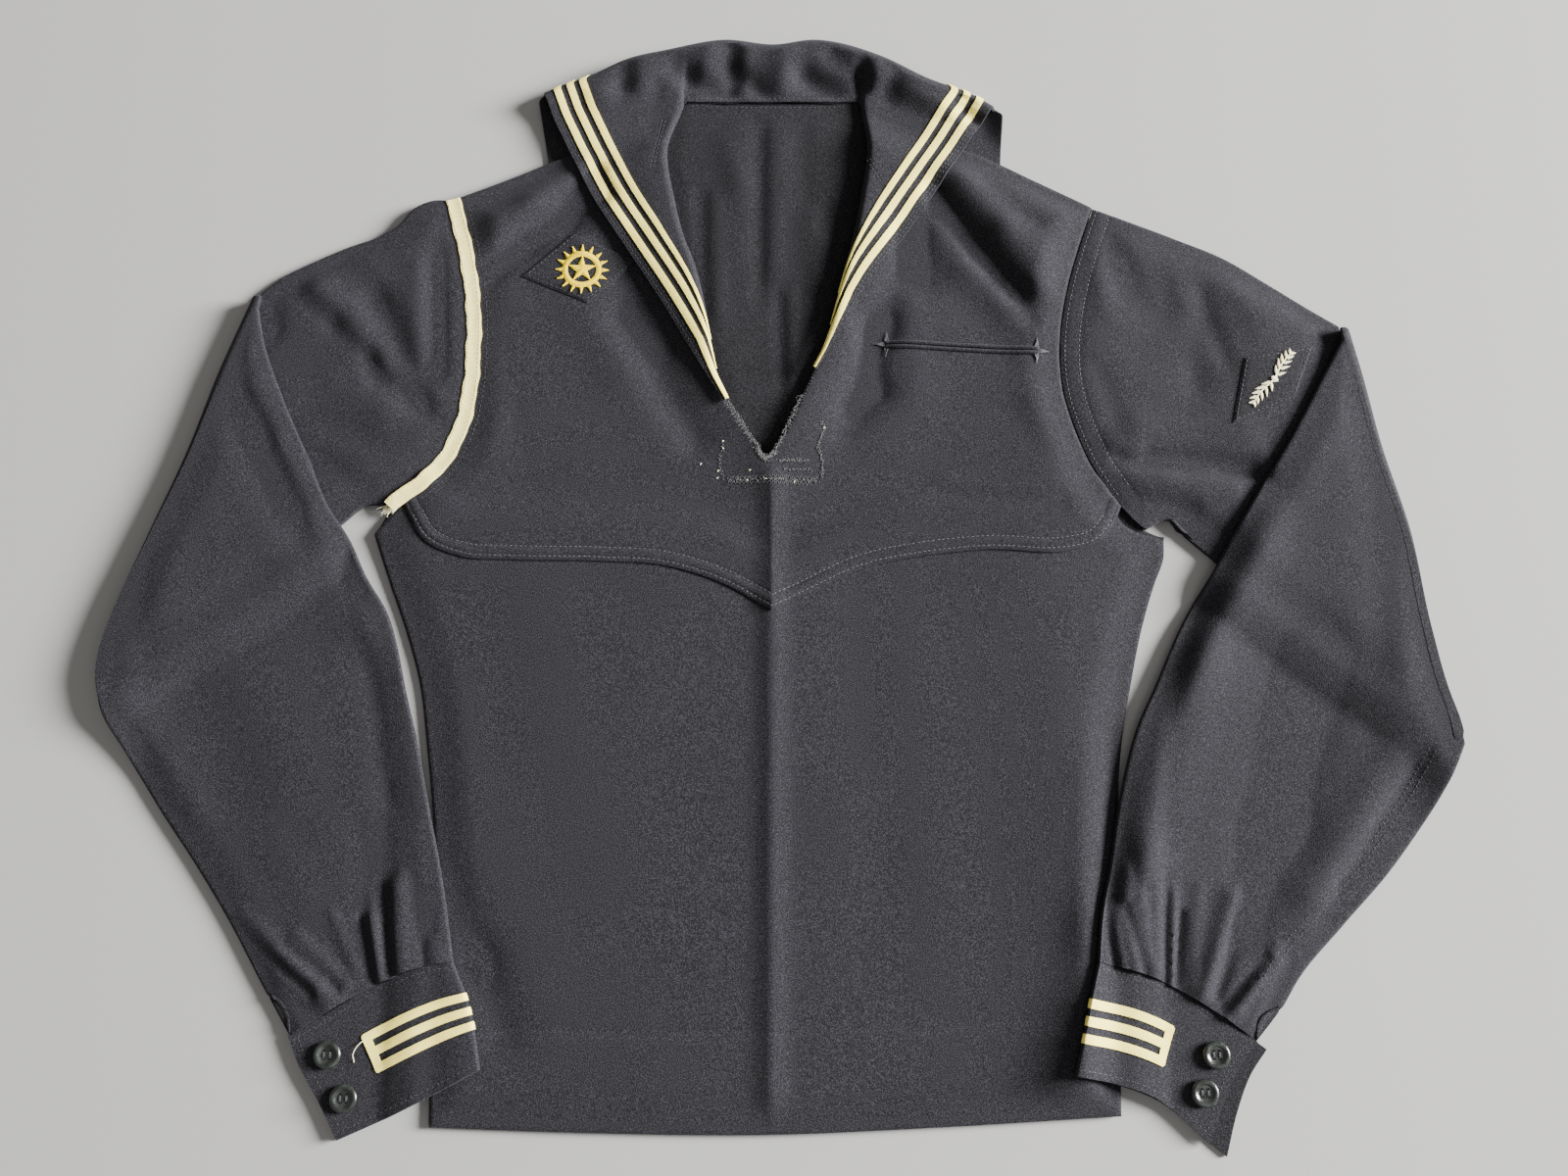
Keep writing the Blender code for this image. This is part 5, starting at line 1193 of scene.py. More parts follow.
def button_finish():
    """Moulded near-black plastic, polished but scuffed."""
    finish = Finish("button_plastic", (0.010, 0.011, 0.010), 0.22)
    place = finish.place()
    cloud = finish.ranged(finish.noise(place, 220.0, 3.0), 0.35, 0.7)
    finish.give("Base Color", finish.blended(cloud, (0.006, 0.007, 0.006), (0.022, 0.026, 0.022)))
    scuffs = finish.noise(place, 1400.0, 3.0)
    finish.give("Roughness", finish.ranged(scuffs, 0.4, 0.75, 0.16, 0.5))
    finish.give("Normal", finish.bumped(scuffs, 0.00008, 0.4))
    finish.give("Coat Weight", 0.3)
    finish.give("Coat Roughness", 0.12)
    return finish.material


WOOL_FINISH = wool("navy_serge", (0.0074, 0.0071, 0.0087), (0.0092, 0.0088, 0.0106), 0.6, 0.07)
# a darker copy of the same serge, painted shade: it colours the back, which shows only in the neck opening,
# and the cuffs' insides
SHADED_WOOL_FINISH = wool("navy_serge_painted_shade", (0.0050, 0.0048, 0.0059), (0.0064, 0.0062, 0.0074), 0.5, 0.04)
PATCH_FINISH = wool("badge_felt", (0.0060, 0.0058, 0.0070), (0.0076, 0.0073, 0.0087), 0.7, 0.08)
TAPE_FINISH = tape_finish("cream_tape", (1.0, 0.87, 0.21), (0.95, 0.78, 0.17))
SHOULDER_TAPE_FINISH = tape_finish("shoulder_tape", (0.95, 0.84, 0.30), (0.86, 0.71, 0.22))
NAVY_THREAD = thread_finish("navy_thread", (0.022, 0.022, 0.026), (0.045, 0.044, 0.050))
PALE_THREAD = thread_finish("faded_thread", (0.055, 0.054, 0.056), (0.13, 0.125, 0.12))
DARK_THREAD = thread_finish("dark_thread", (0.008, 0.008, 0.011), (0.017, 0.017, 0.022))
CREAM_THREAD = thread_finish("cream_thread", (0.95, 0.88, 0.60), (0.84, 0.74, 0.46))
YELLOW_THREAD = thread_finish("yellow_thread", (0.80, 0.60, 0.0), (0.66, 0.46, 0.0), 0.8, 0.1)
BUTTON_FINISH = button_finish()


# ---- thread ----

def strands(name, rows, radius, bulge, finish):
    """Short threads from their starts to their ends, each thickest in the middle."""
    starts, ends = (np.vstack([row[side] for row in rows]) for side in (0, 1))
    way = ends - starts
    way /= np.maximum(np.linalg.norm(way, axis=1, keepdims=True), 1e-9)
    side = np.cross(way, (0.0, 0.0, 1.0))
    side /= np.maximum(np.linalg.norm(side, axis=1, keepdims=True), 1e-9)
    up = np.cross(side, way)
    points = []
    for share, width in STRAND_PROFILE:
        centre = starts * (1 - share) + ends * share + up * bulge * math.sin(math.pi * share)
        for angle in 2 * np.pi * np.arange(STRAND_SIDES) / STRAND_SIDES:
            points.append(centre + radius * width * (side * math.cos(angle) + up * math.sin(angle)))
    points = np.stack(points, 1)
    count = points.shape[1]
    corners = np.arange(STRAND_SIDES)
    after = (corners + 1) % STRAND_SIDES
    low = STRAND_SIDES * np.arange(len(STRAND_PROFILE) - 1)[:, None]
    high = low + STRAND_SIDES
    pattern = np.dstack([low + corners, low + after, high + after, high + corners]).reshape(-1, 4)
    offsets = np.arange(len(points)) * count
    faces = (pattern + offsets[:, None, None]).reshape(-1, 4).tolist()
    faces += (offsets[:, None] + corners).tolist()
    faces += (offsets[:, None] + count - STRAND_SIDES + corners[::-1]).tolist()
    mesh = bpy.data.meshes.new(name)
    mesh.from_pydata((points.reshape(-1, 3) * 0.001).tolist(), [], faces)
    mesh.shade_smooth()
    return placed(name, mesh, finish)


def stitch_row(points, top, stitch, rise):
    """Starts and ends of the stitches along a line, on a surface or at the line's own heights."""
    length, gap = stitch
    points = np.asarray(points, float)
    whole = run_lengths(points)[-1]
    first = np.arange(0.5 * gap, whole - length, length + gap)
    random = np.random.default_rng(len(points) * 7 + int(whole))
    first = first + random.normal(0.0, 0.12 * gap, len(first))
    last = first + length * random.uniform(0.85, 1.1, len(first))
    ends = []
    for at in (first, last):
        spots = at_lengths(points, at)
        height = spots[:, 2] if top is None else top(spots[:, 0], spots[:, 1])
        ends.append(np.column_stack([spots[:, :2], height + rise]))
    return ends


def beside(points, distance):
    """The line of points moved to its left by a distance."""
    points = np.asarray(points, float)
    way = ways_along(points)
    return points + distance * np.column_stack([-way[:, 1], way[:, 0]])


# ---- body ----

def make_body():
    """Back, lower front and yoke."""
    armpits = line([SIDE_RIGHT[-1], SIDE_LEFT[-1]], BODY_ACROSS)
    rows = np.linspace(0.0, 1.0, BODY_ROWS // 2 + 1)
    skirt = patch(line(HEM, BODY_ACROSS), armpits, line(SIDE_RIGHT, rows), line(SIDE_LEFT, rows),
                  BODY_ACROSS)
    third = len(BODY_ACROSS) // 3
    neck = line(NECK, len(BODY_ACROSS) - 1 - 2 * third)
    top = np.vstack([line(SHOULDER_RIGHT, third)[:-1], neck[:-1], line(SHOULDER_LEFT[::-1], third)])
    chest = patch(armpits, top, along(ARMHOLE_RIGHT, 0, -1, rows)[::-1],
                  along(ARMHOLE_LEFT, 0, -1, rows)[::-1], BODY_ACROSS)
    # the back takes the darker copy of the serge, painted shade where it shows in the neck
    back = panel("back_cloth", "back", [skirt, chest], back_surface, WOOL, BODY_OUTLINE,
                 SHADED_WOOL_FINISH)

    rows = spread(BODY_ROWS, FRONT_CLOSE)
    lower = patch(line(HEM, BODY_ACROSS), line(FRONT_MIDDLE, BODY_ACROSS), line(SIDE_RIGHT, rows),
                  line(SIDE_LEFT, rows), BODY_ACROSS, rows)
    rows = np.linspace(0.0, 1.0, LAP_ROWS + 1)
    upper = patch(line(FRONT_MIDDLE, BODY_ACROSS), line(FRONT_TOP, BODY_ACROSS),
                  line(FRONT_ARMPIT_RIGHT, rows), line(FRONT_ARMPIT_LEFT, rows), BODY_ACROSS)
    front_outline = np.vstack([lower[0], lower[1:, -1], upper[1:, -1], upper[-1, ::-1][1:],
                               upper[::-1, 0][1:], lower[::-1, 0][1:-1]])[::3]
    front = panel("front_cloth", "front", [lower, upper], front_surface, WOOL, front_outline,
                  WOOL_FINISH)

    halves = []
    for edge, slash, armhole, shoulder in (
            (YOKE_EDGE_RIGHT, SLASH_RIGHT, ARMHOLE_RIGHT, SHOULDER_RIGHT),
            (YOKE_EDGE_LEFT, SLASH_LEFT, ARMHOLE_LEFT, SHOULDER_LEFT)):
        side = along(armhole, 0, YOKE_ROW, 1.0 - YOKE_UP[::-1])[::-1]
        halves.append(patch(line(edge, YOKE_ACROSS), line(shoulder, YOKE_ACROSS), side,
                            line(slash, YOKE_UP), YOKE_ACROSS, YOKE_UP))
    yoke = panel("yoke_cloth", "front_yoke", halves, yoke_surface, WOOL, YOKE_OUTLINE,
                 WOOL_FINISH)


# ---- collar ----

def make_collar():
    """Lapels, roll and flap in one piece, with their tapes and sewing."""
    right, left, roll = collar_parts()
    points, faces = [], []
    for grid, flip in ((right, False), (left, True), (roll, False)):
        part_faces = grid_faces(*grid.shape[:2], len(points))
        faces += [face[::-1] for face in part_faces] if flip else part_faces
        points += [tuple(point) for point in grid.reshape(-1, 3)]
    mesh = walled(surface("collar_cloth", points, faces), DOUBLE_WOOL)
    collar = placed("collar_cloth", mesh, WOOL_FINISH, "collar")
    rows = []
    for side, lapel in (("right", right), ("left", left)):
        collar_tapes(lapel, roll, side)
        width = np.linalg.norm(lapel[:, -1] - lapel[:, 0], axis=1)
        for distance in COLLAR_SEWING:
            columns = np.interp(np.minimum(distance / width, 0.5), LAPEL_SHARES, range(len(LAPEL_SHARES)))
            spots = np.array([on_grid(lapel, row, column) for row, column in enumerate(columns)])
            rows.append(stitch_row(spots[4:, :2], lapel_top, HEM_STITCH, 0.05))
    for start, end in NECK_DARTS:
        for offset in (-DART_SEWING, DART_SEWING):
            rows.append(stitch_row(beside(line([start, end], 10), offset), lapel_top, HEM_STITCH, 0.05))
    neck = [on_grid(roll, 1.6, column)
            for column in range(LAPEL_COLUMNS + 4, LAPEL_COLUMNS + NECK_COLUMNS - 3)]
    rows.append(stitch_row(neck, None, HEM_STITCH, 0.05))
    neck = line(NECK, 60)[6:-6] - np.array([0.0, NECK_SEWING])
    rows.append(stitch_row(neck, back_surface, HEM_STITCH, 0.05))
    strands("collar_sewing", rows, 0.19, 0.05, NAVY_THREAD)


def tape_place(distance, full):
    """Where a row lies across the collar: rows near the inner edge draw together over its roll."""
    return distance / (1.0 + (distance / full) ** 4) ** 0.25


def collar_tapes(lapel, roll, side):
    """Rows of tape along the collar's edge, from where the inner edge cuts them to past the roll."""
    half = (roll if side == "right" else roll[:, ::-1])[:, :LAPEL_COLUMNS + 1]
    base = np.vstack([lapel, half[1:RISE_ROWS + TURN_ROWS * 2 // 3 + 1]])
    width = np.linalg.norm(base[:, -1] - base[:, 0], axis=1)
    row_way = (base[:, -1] - base[:, 0]) / width[:, None]
    square = np.linalg.norm(np.cross(ways_along(base[:, 0]), row_way), axis=1)
    # the width square to the edge, evened out over its neighbours
    reach = WIDTH_EVENING // 2
    evening = np.ones(WIDTH_EVENING) / WIDTH_EVENING
    full_widths = np.convolve(np.pad(width * square, reach, mode="edge"), evening, "valid")
    normal = normals_of(base) if side == "right" else -normals_of(base)
    for index in range(TAPE_ROWS):
        lines = []
        for row, full in enumerate(full_widths):
            near = min(COLLAR_MARGIN, MARGIN_SHARE * full)
            near += index * (COLLAR_TAPE_WIDTH + COLLAR_TAPE_SPACE)
            near, far = tape_place(near, full), tape_place(near + COLLAR_TAPE_WIDTH, full)
            if far - near < TAPE_END_WIDTH:
                continue
            across = []
            for share in TAPE_STEPS:
                crown = TAPE_LIFT + COLLAR_TAPE_CROWN * math.sin(math.pi * share)
                at = (near + (far - near) * share) / full
                column = np.interp(at, LAPEL_SHARES, range(LAPEL_COLUMNS + 1))
                across.append(on_grid(base, row, column) + on_grid(normal, row, column) * crown)
            lines.append(across)
        grid = np.array(lines)
        if side == "left":
            grid = grid[:, ::-1]
        name = f"collar_tape_{side}_{index + 1}"
        tape = strip(name + "_woven", name, grid, TAPE_FINISH)


# ---- sleeves and cuffs ----

def make_sleeves():
    """Both sleeves. Returns the points on top of the left one's second length."""
    for side, sleeve, armhole, upper, lower in (
            ("right", SLEEVE_RIGHT, ARMHOLE_RIGHT, RIGHT_UPPER_FOLDS + FINE_RIGHT_UPPER,
             RIGHT_LOWER_FOLDS + FINE_RIGHT_LOWER),
            ("left", SLEEVE_LEFT, ARMHOLE_LEFT, LEFT_UPPER_FOLDS + FINE_LEFT_UPPER,
             LEFT_LOWER_FOLDS + FINE_LEFT_LOWER)):
        rings, tops = sleeve_rings(sleeve, armhole, upper, lower)
        piece = tube(f"{side}_sleeve_cloth", f"{side}_sleeve", rings, WOOL)
    return tops


def on_points(surface_points):
    """Height of a surface that is known by its points, from the nearest of them."""
    spots = surface_points.reshape(-1, 3)

    def top(x, y):
        distance = (spots[:, 0] - np.ravel(x)[:, None]) ** 2 + (spots[:, 1] - np.ravel(y)[:, None]) ** 2
        nearest = np.argpartition(distance, NEAREST_POINTS, axis=1)[:, :NEAREST_POINTS]
        weight = 1.0 / (np.take_along_axis(distance, nearest, 1) + 0.01)
        return (spots[nearest, 2] * weight).sum(1) / weight.sum(1)
    return top


def sew_sleeves(left_tops):
    """Two rows beside the seam that runs from the left elbow down the outer edge to the slit."""
    edge = line(SLEEVE_LEFT["outer"], 80)[4:-6]
    inward = beside(edge, 1.0) - edge
    if inward[len(inward) // 2][0] > 0:
        inward = -inward
    rows = [stitch_row(edge + inward * distance, on_points(left_tops), HEM_STITCH, 0.12)
            for distance in ELBOW_SEWING]
    strands("left_sleeve_seam_sewing", rows, 0.19, 0.05, NAVY_THREAD)


INNER_EDGE = 2 * EDGE_TURNS + STATIONS - 2


def make_cuffs():
    """Both cuffs with their tapes, sewing and buttons."""
    for side, cuff, places in (("right", CUFF_RIGHT, BUTTONS_RIGHT), ("left", CUFF_LEFT, BUTTONS_LEFT)):
        rings = cuff_rings(cuff)
        piece = tube(f"{side}_cuff_cloth", f"{side}_cuff", rings, DOUBLE_WOOL)
        # the wall's inner faces follow its outer ones in the mesh, and they take the darker copy of the
        # serge, painted shade inside the cuff
        piece.data.materials.append(SHADED_WOOL_FINISH)
        spaces = (rings.shape[0] - 1) * (rings.shape[1] - 1)
        for face in piece.data.polygons[spaces:2 * spaces]:
            face.material_index = 1
        cuff_tape(side, rings)
        sew_cuff(side, rings)
        for index, place in enumerate(places):
            make_button(f"{side}_cuff_button_{index + 1}", place, height_at(cuff_top, place) + TRIM_GAP)


def cuff_tape(side, rings):
    """Rows of tape across the cuff, joined by a bar at their outer end and wrapped round the fold."""
    middle = INNER_EDGE // 2
    seam_to_wrist = np.linalg.norm(rings[-1, middle, :2] - rings[0, middle, :2])
    lengths = run_lengths(rings[CUFF_ROWS // 2, :INNER_EDGE + 1])
    bar = [np.interp(CUFF_TAPE_START[side] + offset, lengths, np.arange(len(lengths)))
           for offset in (0.0, 0.5, 1.4, TAPE_WIDTH)]
    columns = bar + [float(index) for index in range(int(bar[-1]) + 1, INNER_EDGE + 1)]
    reach = TAPE_ROWS * TAPE_WIDTH + (TAPE_ROWS - 1) * TAPE_SPACE
    normal = normals_of(rings)
    if normal[CUFF_ROWS // 2, middle, 2] < 0:
        normal = -normal
    grid = []
    for index in range(TAPE_ROWS):
        for step in TAPE_STEPS:
            from_edge = index * (TAPE_WIDTH + TAPE_SPACE) + step * TAPE_WIDTH
            crown = TAPE_LIFT + CUFF_TAPE_CROWN * math.sin(math.pi * step)
            inward = 1.0 if from_edge < 0.5 * reach else -1.0
            if min(from_edge, reach - from_edge) >= 0.4 * TAPE_WIDTH:
                inward = 0.0
            across = []
            for place, column in enumerate(columns):
                # the bar's corners are rounded
                inset = BAR_CORNERS[place] if place < len(BAR_CORNERS) else 0.0
                row = CUFF_ROWS * (CUFF_TAPE_MARGIN[side] + from_edge + inset * inward) / seam_to_wrist
                across.append(on_grid(rings, row, column) + crown * on_grid(normal, row, column))
            grid.append(across)
    grid = np.array(grid)
    spaces, steps = len(columns) - 1, len(TAPE_STEPS)
    faces = [face for index, face in enumerate(grid_faces(*grid.shape[:2]))
             if (index // spaces) % steps != steps - 1 or index % spaces < 3]
    name = f"{side}_cuff_tape"
    tape = strip(name + "_woven", name, grid, TAPE_FINISH, faces)


def sew_cuff(side, rings):
    """Sewing along the cuff's two long edges and its open end, on the upper face."""
    lines = [[on_grid(rings, share * CUFF_ROWS, column) for column in np.arange(4, INNER_EDGE - 4)]
             for share in CUFF_SEWING]
    lines.append([on_grid(rings, row, CUFF_END_COLUMN) for row in np.arange(1.2, CUFF_ROWS - 1.2)])
    rows = [stitch_row(np.array(points)[:, :2], cuff_top, HEM_STITCH, 0.05) for points in lines]
    strands(f"{side}_cuff_sewing", rows, 0.18, 0.05, NAVY_THREAD)


def button_solid(name):
    """Turned body of a button with its four holes."""
    radius, thick, well = BUTTON_RADIUS, BUTTON_THICK, BUTTON_WELL
    # half section from the middle of the face over the rim to the middle of the back
    profile = [(0.0, thick - well), (0.40 * radius, thick - well), (0.52 * radius, thick - 0.9 * well),
               (0.62 * radius, thick - 0.45 * well), (0.70 * radius, thick - 0.08), (0.78 * radius, thick),
               (0.88 * radius, thick - 0.08), (0.96 * radius, 0.80 * thick), (radius, 0.58 * thick),
               (0.97 * radius, 0.36 * thick), (0.86 * radius, 0.10 * thick), (0.78 * radius, 0.0),
               (0.0, 0.0)]
    mesh = bpy.data.meshes.new(name)
    mesh.from_pydata([(0.001 * x, 0.0, 0.001 * z) for x, z in profile],
                     [(index, index + 1) for index in range(len(profile) - 1)], [])
    body = linked(name + "_turned", mesh)
    turned = body.modifiers.new("turned", "SCREW")
    turned.steps = turned.render_steps = 56
    turned.use_merge_vertices = True
    turned.merge_threshold = 0.00001
    turned.use_normal_calculate = True
    work = bmesh.new()
    for x in (-1, 1):
        for y in (-1, 1):
            made = bmesh.ops.create_cone(work, cap_ends=True, segments=18, depth=0.001 * 3 * thick,
                                         radius1=0.001 * BUTTON_HOLE_RADIUS,
                                         radius2=0.001 * BUTTON_HOLE_RADIUS)
            bmesh.ops.translate(work, verts=made["verts"], vec=(
                0.0005 * x * BUTTON_HOLE_PITCH, 0.0005 * y * BUTTON_HOLE_PITCH, 0.0005 * thick))
    drills = bpy.data.meshes.new(name + "_drills")
    work.to_mesh(drills)
    work.free()
    drill = linked(name + "_drills", drills)
    holes = body.modifiers.new("holes", "BOOLEAN")
    holes.object = drill
    holes.operation = "DIFFERENCE"
    solid = baked(body)
    bpy.data.objects.remove(drill, do_unlink=True)
    return solid


def make_button(name, place, height):
    """Four-hole button with a raised rim and its sewing thread."""
    solid = button_solid(name)
    solid.shade_smooth()
    solid.set_sharp_from_angle(angle=BUTTON_EDGE_ANGLE)
    for vertex in solid.vertices:
        vertex.co += 0.001 * Vector((*place, height))
    placed(name + "_moulded", solid, BUTTON_FINISH, name)
    face = height + BUTTON_THICK - BUTTON_WELL - 0.1
    half = 0.5 * BUTTON_HOLE_PITCH
    starts, ends = [], []
    for x in (-half, half):
        for strand in (-0.42, -0.14, 0.14, 0.42):
            starts.append((place[0] + x + strand, place[1] - half - 0.3, face))
            ends.append((place[0] + x + strand, place[1] + half + 0.3, face))
    strands(name + "_thread", [(starts, ends)], 0.2, 0.55, DARK_THREAD)


# ---- trim on the panels ----

def sleeve_top(armhole, sleeve, table):
    """Height of the top of a sleeve's first length."""
    outline = border_loop(sleeve_borders(sleeve, armhole)[0])
    return lambda x, y: upper_top(x, y, armhole, outline, table)


RIGHT_UPPER_TOP = sleeve_top(ARMHOLE_RIGHT, SLEEVE_RIGHT, RIGHT_UPPER_FOLDS + FINE_RIGHT_UPPER)
LEFT_UPPER_TOP = sleeve_top(ARMHOLE_LEFT, SLEEVE_LEFT, LEFT_UPPER_FOLDS + FINE_LEFT_UPPER)


def right_seam_top(x, y):
    """Top of the cloth on both sides of the right armhole seam."""
    return np.maximum(RIGHT_UPPER_TOP(x, y), yoke_surface(x, y))


def make_shoulder_tape():
    """Tape sewn over the right armhole seam, half on the yoke and half on the sleeve, frayed below."""
    middle = along(ARMHOLE_RIGHT, 0, SLEEVE_ROW, 150)
    offsets = np.array([-1.0, -0.9, -0.62, -0.3, 0.0, 0.3, 0.62, 0.9, 1.0]) * SHOULDER_TAPE_WIDTH / 2
    grid = np.stack([beside(middle, offset) for offset in offsets], 1)
    place = np.arange(len(grid))
    grid[:, :, 0] += (0.35 * np.sin(place * 0.33) + 0.25 * np.sin(place * 0.71))[:, None]
    z = right_seam_top(grid[..., 0], grid[..., 1])
    z = np.maximum(z, z.max(axis=1, keepdims=True) - 0.5)
    z = (z + np.roll(z, 1, 0) + np.roll(z, -1, 0)) / 3
    z[0], z[-1] = z[1], z[-2]
    crown = 0.12 + 0.30 * np.cos(0.5 * np.pi * offsets / offsets[-1]) ** 0.5
    dents = sewn_dents(np.abs(offsets), SHOULDER_TAPE_DENTS)
    tape = strip("shoulder_tape_woven", "shoulder_tape_right", np.dstack([grid, z + crown - dents]),
                 SHOULDER_TAPE_FINISH)
    rows = [stitch_row(beside(middle, offset), right_seam_top, STITCH, 0.78)
            for offset in (-SHOULDER_TAPE_SEWING, SHOULDER_TAPE_SEWING)]
    strands("shoulder_tape_sewing", rows, 0.2, 0.05, CREAM_THREAD)
    random = np.random.default_rng(5)
    starts, ends = [], []
    for _ in range(34):
        aside = random.uniform(-4.6, 4.6)
        start = np.array([middle[-1][0] + 0.55 * aside, middle[-1][1] - 0.225 * aside + 0.6, 5.4])
        reach = random.uniform(2.5, 7.5)
        turn = math.radians(random.uniform(196, 262))
        starts.append(start)
        ends.append(start + np.array([reach * math.cos(turn), reach * math.sin(turn),
                                      random.uniform(-2.2, 0.4)]))
    strands("shoulder_tape_fray", [(starts, ends)], 0.17, 0.6, CREAM_THREAD)


def make_patch(name, node, corners, top):
    """Lozenge of felt with a turned edge, sewn down all round. Returns its own top."""
    outline = np.array(corners, float)
    first, second, third, fourth = outline
    shares = spread(44, (0.012, 0.03))
    grid = patch(line([first, second], shares), line([fourth, third], shares),
                 line([first, fourth], shares), line([second, third], shares), shares, shares)

    def felt(x, y):
        edge = np.abs(inside_distance(x, y, outline))
        return top(x, y) + FELT_RISE - sewn_dents(edge, PATCH_DENTS)

    piece = panel(name, node, [grid], felt, PATCH_WOOL, outline, PATCH_FINISH)
    inner = outline + (outline.mean(axis=0) - outline) * PATCH_SEWING
    rows = [stitch_row(line([start, end], 12), felt, HEM_STITCH, 0.08)
            for start, end in zip(inner, np.roll(inner, -1, axis=0))]
    strands(name + "_sewing", rows, 0.2, 0.05, NAVY_THREAD)
    return felt


def satin(centre_line, half_widths, top, pitch, slant, lift=0.35):
    """Threads laid side by side across a line, to its half widths."""
    centre_line = np.asarray(centre_line, float)
    whole = run_lengths(centre_line)[-1]
    at = np.arange(0.0, whole, pitch)
    centre = at_lengths(centre_line, at)
    way = ways_along(centre)
    turn = math.radians(90.0 - slant)
    across = np.column_stack([way[:, 0] * math.cos(turn) - way[:, 1] * math.sin(turn),
                              way[:, 0] * math.sin(turn) + way[:, 1] * math.cos(turn)])
    half = np.interp(at, np.linspace(0.0, whole, len(half_widths)), half_widths)[:, None]
    ends = [centre - across * half, centre + across * half]
    return [np.column_stack([spots, top(*spots.T) + lift]) for spots in ends]


def direction(degrees):
    """Unit vector at an angle from +X."""
    return np.array([math.cos(math.radians(degrees)), math.sin(math.radians(degrees))])


def make_badges():
    """An embroidered ring round an ordinary star, and a pair of leafy sprigs."""
    felt = make_patch("chest_patch_felt", "chest_patch", CHEST_PATCH, yoke_surface)
    centre = np.array(CHEST_BADGE["centre"])
    around = np.linspace(0.0, 2 * math.pi, 80)
    circle = centre + CHEST_BADGE["ring"] * np.column_stack([np.cos(around), np.sin(around)])
    rows = [satin(circle, [2.2, 2.2], felt, 0.36, 24.0)]
    for point in range(5):
        tip = centre + CHEST_BADGE["star"] * direction(90.0 + 72.0 * point)
        rows.append(satin([centre, tip], [3.6, 1.9, 0.2], felt, 0.36, 20.0, 0.4))
    for turn in range(CHEST_BADGE["rays"]):
        ends = [centre + reach * direction(360.0 * turn / CHEST_BADGE["rays"])
                for reach in CHEST_BADGE["ray"]]
        rows.append(satin(ends, [1.5, 0.3], felt, 0.36, 15.0))
    strands("chest_badge_embroidery", rows, 0.27, 0.28, YELLOW_THREAD)

    felt = make_patch("sleeve_patch_felt", "sleeve_patch", SLEEVE_PATCH, LEFT_UPPER_TOP)
    rows = []
    middle = np.array(SLEEVE_BADGE["centre"])
    way = direction(SLEEVE_BADGE["lean"])
    aside = np.array([-way[1], way[0]])

    def on_stem(end, reach):
        """Place on a sprig's curved stem."""
        return middle + end * way * reach + aside * SLEEVE_BADGE["bend"] * math.sin(reach / 9.0)

    for end in (-1, 1):
        stem = [on_stem(end, reach) for reach in np.linspace(1.0, SLEEVE_BADGE["stem"], 14)]
        rows.append(satin(stem, [0.8, 0.6, 0.4], felt, 0.42, 30.0))
        for place, leaf in SLEEVE_BADGE["leaves"]:
            root = on_stem(end, place)
            for hand in (-1, 1):
                spread_way = direction(SLEEVE_BADGE["leaf_lean"])
                tip = root + (end * way * spread_way[0] + hand * aside * spread_way[1]) * leaf
                rows.append(satin([root, 0.5 * (root + tip), tip], [0.35, 1.25, 0.9, 0.15], felt, 0.42, 18.0))
    rows.append(satin([middle - aside * 2.4, middle + aside * 2.4], [0.4, 2.3, 2.3, 0.4], felt, 0.42,
                      0.0, 0.5))
    strands("sleeve_badge_embroidery", rows, 0.27, 0.28, CREAM_THREAD)


def make_pocket():
    """Two narrow welts on either side of the pocket's slit, an arrowhead tack at each end."""
    start, end = np.array(POCKET_FROM), np.array(POCKET_TO)
    way = (end - start) / np.linalg.norm(end - start)
    up = np.array([-way[1], way[0]])
    share = np.linspace(0.0, 1.0, 9)
    for name, side in (("pocket_welt_upper", 1), ("pocket_welt_lower", -1)):
        near = up * side * WELT_SLIT / 2
        far = near + up * side * WELT_WIDTH
        grid = patch(line([start + near, end + near], WELT_SPACES),
                     line([start + far, end + far], WELT_SPACES),
                     line([start + near, start + far], share), line([end + near, end + far], share))
        x, y = grid[..., 0], grid[..., 1]
        sag = WELT_SAG * side * np.sin(np.pi * np.linspace(0.0, 1.0, WELT_SPACES + 1))
        z = yoke_surface(x, y) + 0.35 + 1.25 * np.sin(np.pi * (0.12 + 0.80 * share[:, None])) ** 0.8
        points = np.dstack([x, y + sag * (1.0 - share[:, None]), z])
        mesh = walled(surface(name, points.reshape(-1, 3), grid_faces(*grid.shape[:2])), WELT_WALL)
        welt = placed(name + "_cloth", mesh, WOOL_FINISH, name)
    rows = []
    for tip, outward in ((start, -1), (end, 1)):
        for arm, length in ((up, 9.5), (-up, 9.5), (way * outward, 9.0)):
            across = np.array([-arm[1], arm[0]])
            for strand in np.linspace(-1.0, 1.0, 7):
                root = tip + across * strand * 1.7 - way * outward * 0.5 + arm * 0.8
                point = tip + across * strand * 0.25 + arm * length * (1.0 - 0.28 * abs(strand))
                rows.append([(*spot, height_at(yoke_surface, spot) + 0.55) for spot in (root, point)])
    strands("pocket_tacks", rows, 0.2, 0.25, NAVY_THREAD)
    rows = [stitch_row(line(ends, 20), yoke_surface, HEM_STITCH, 0.02) for ends in POCKET_BAG]
    strands("pocket_bag_sewing", rows, 0.13, 0.02, DARK_THREAD)


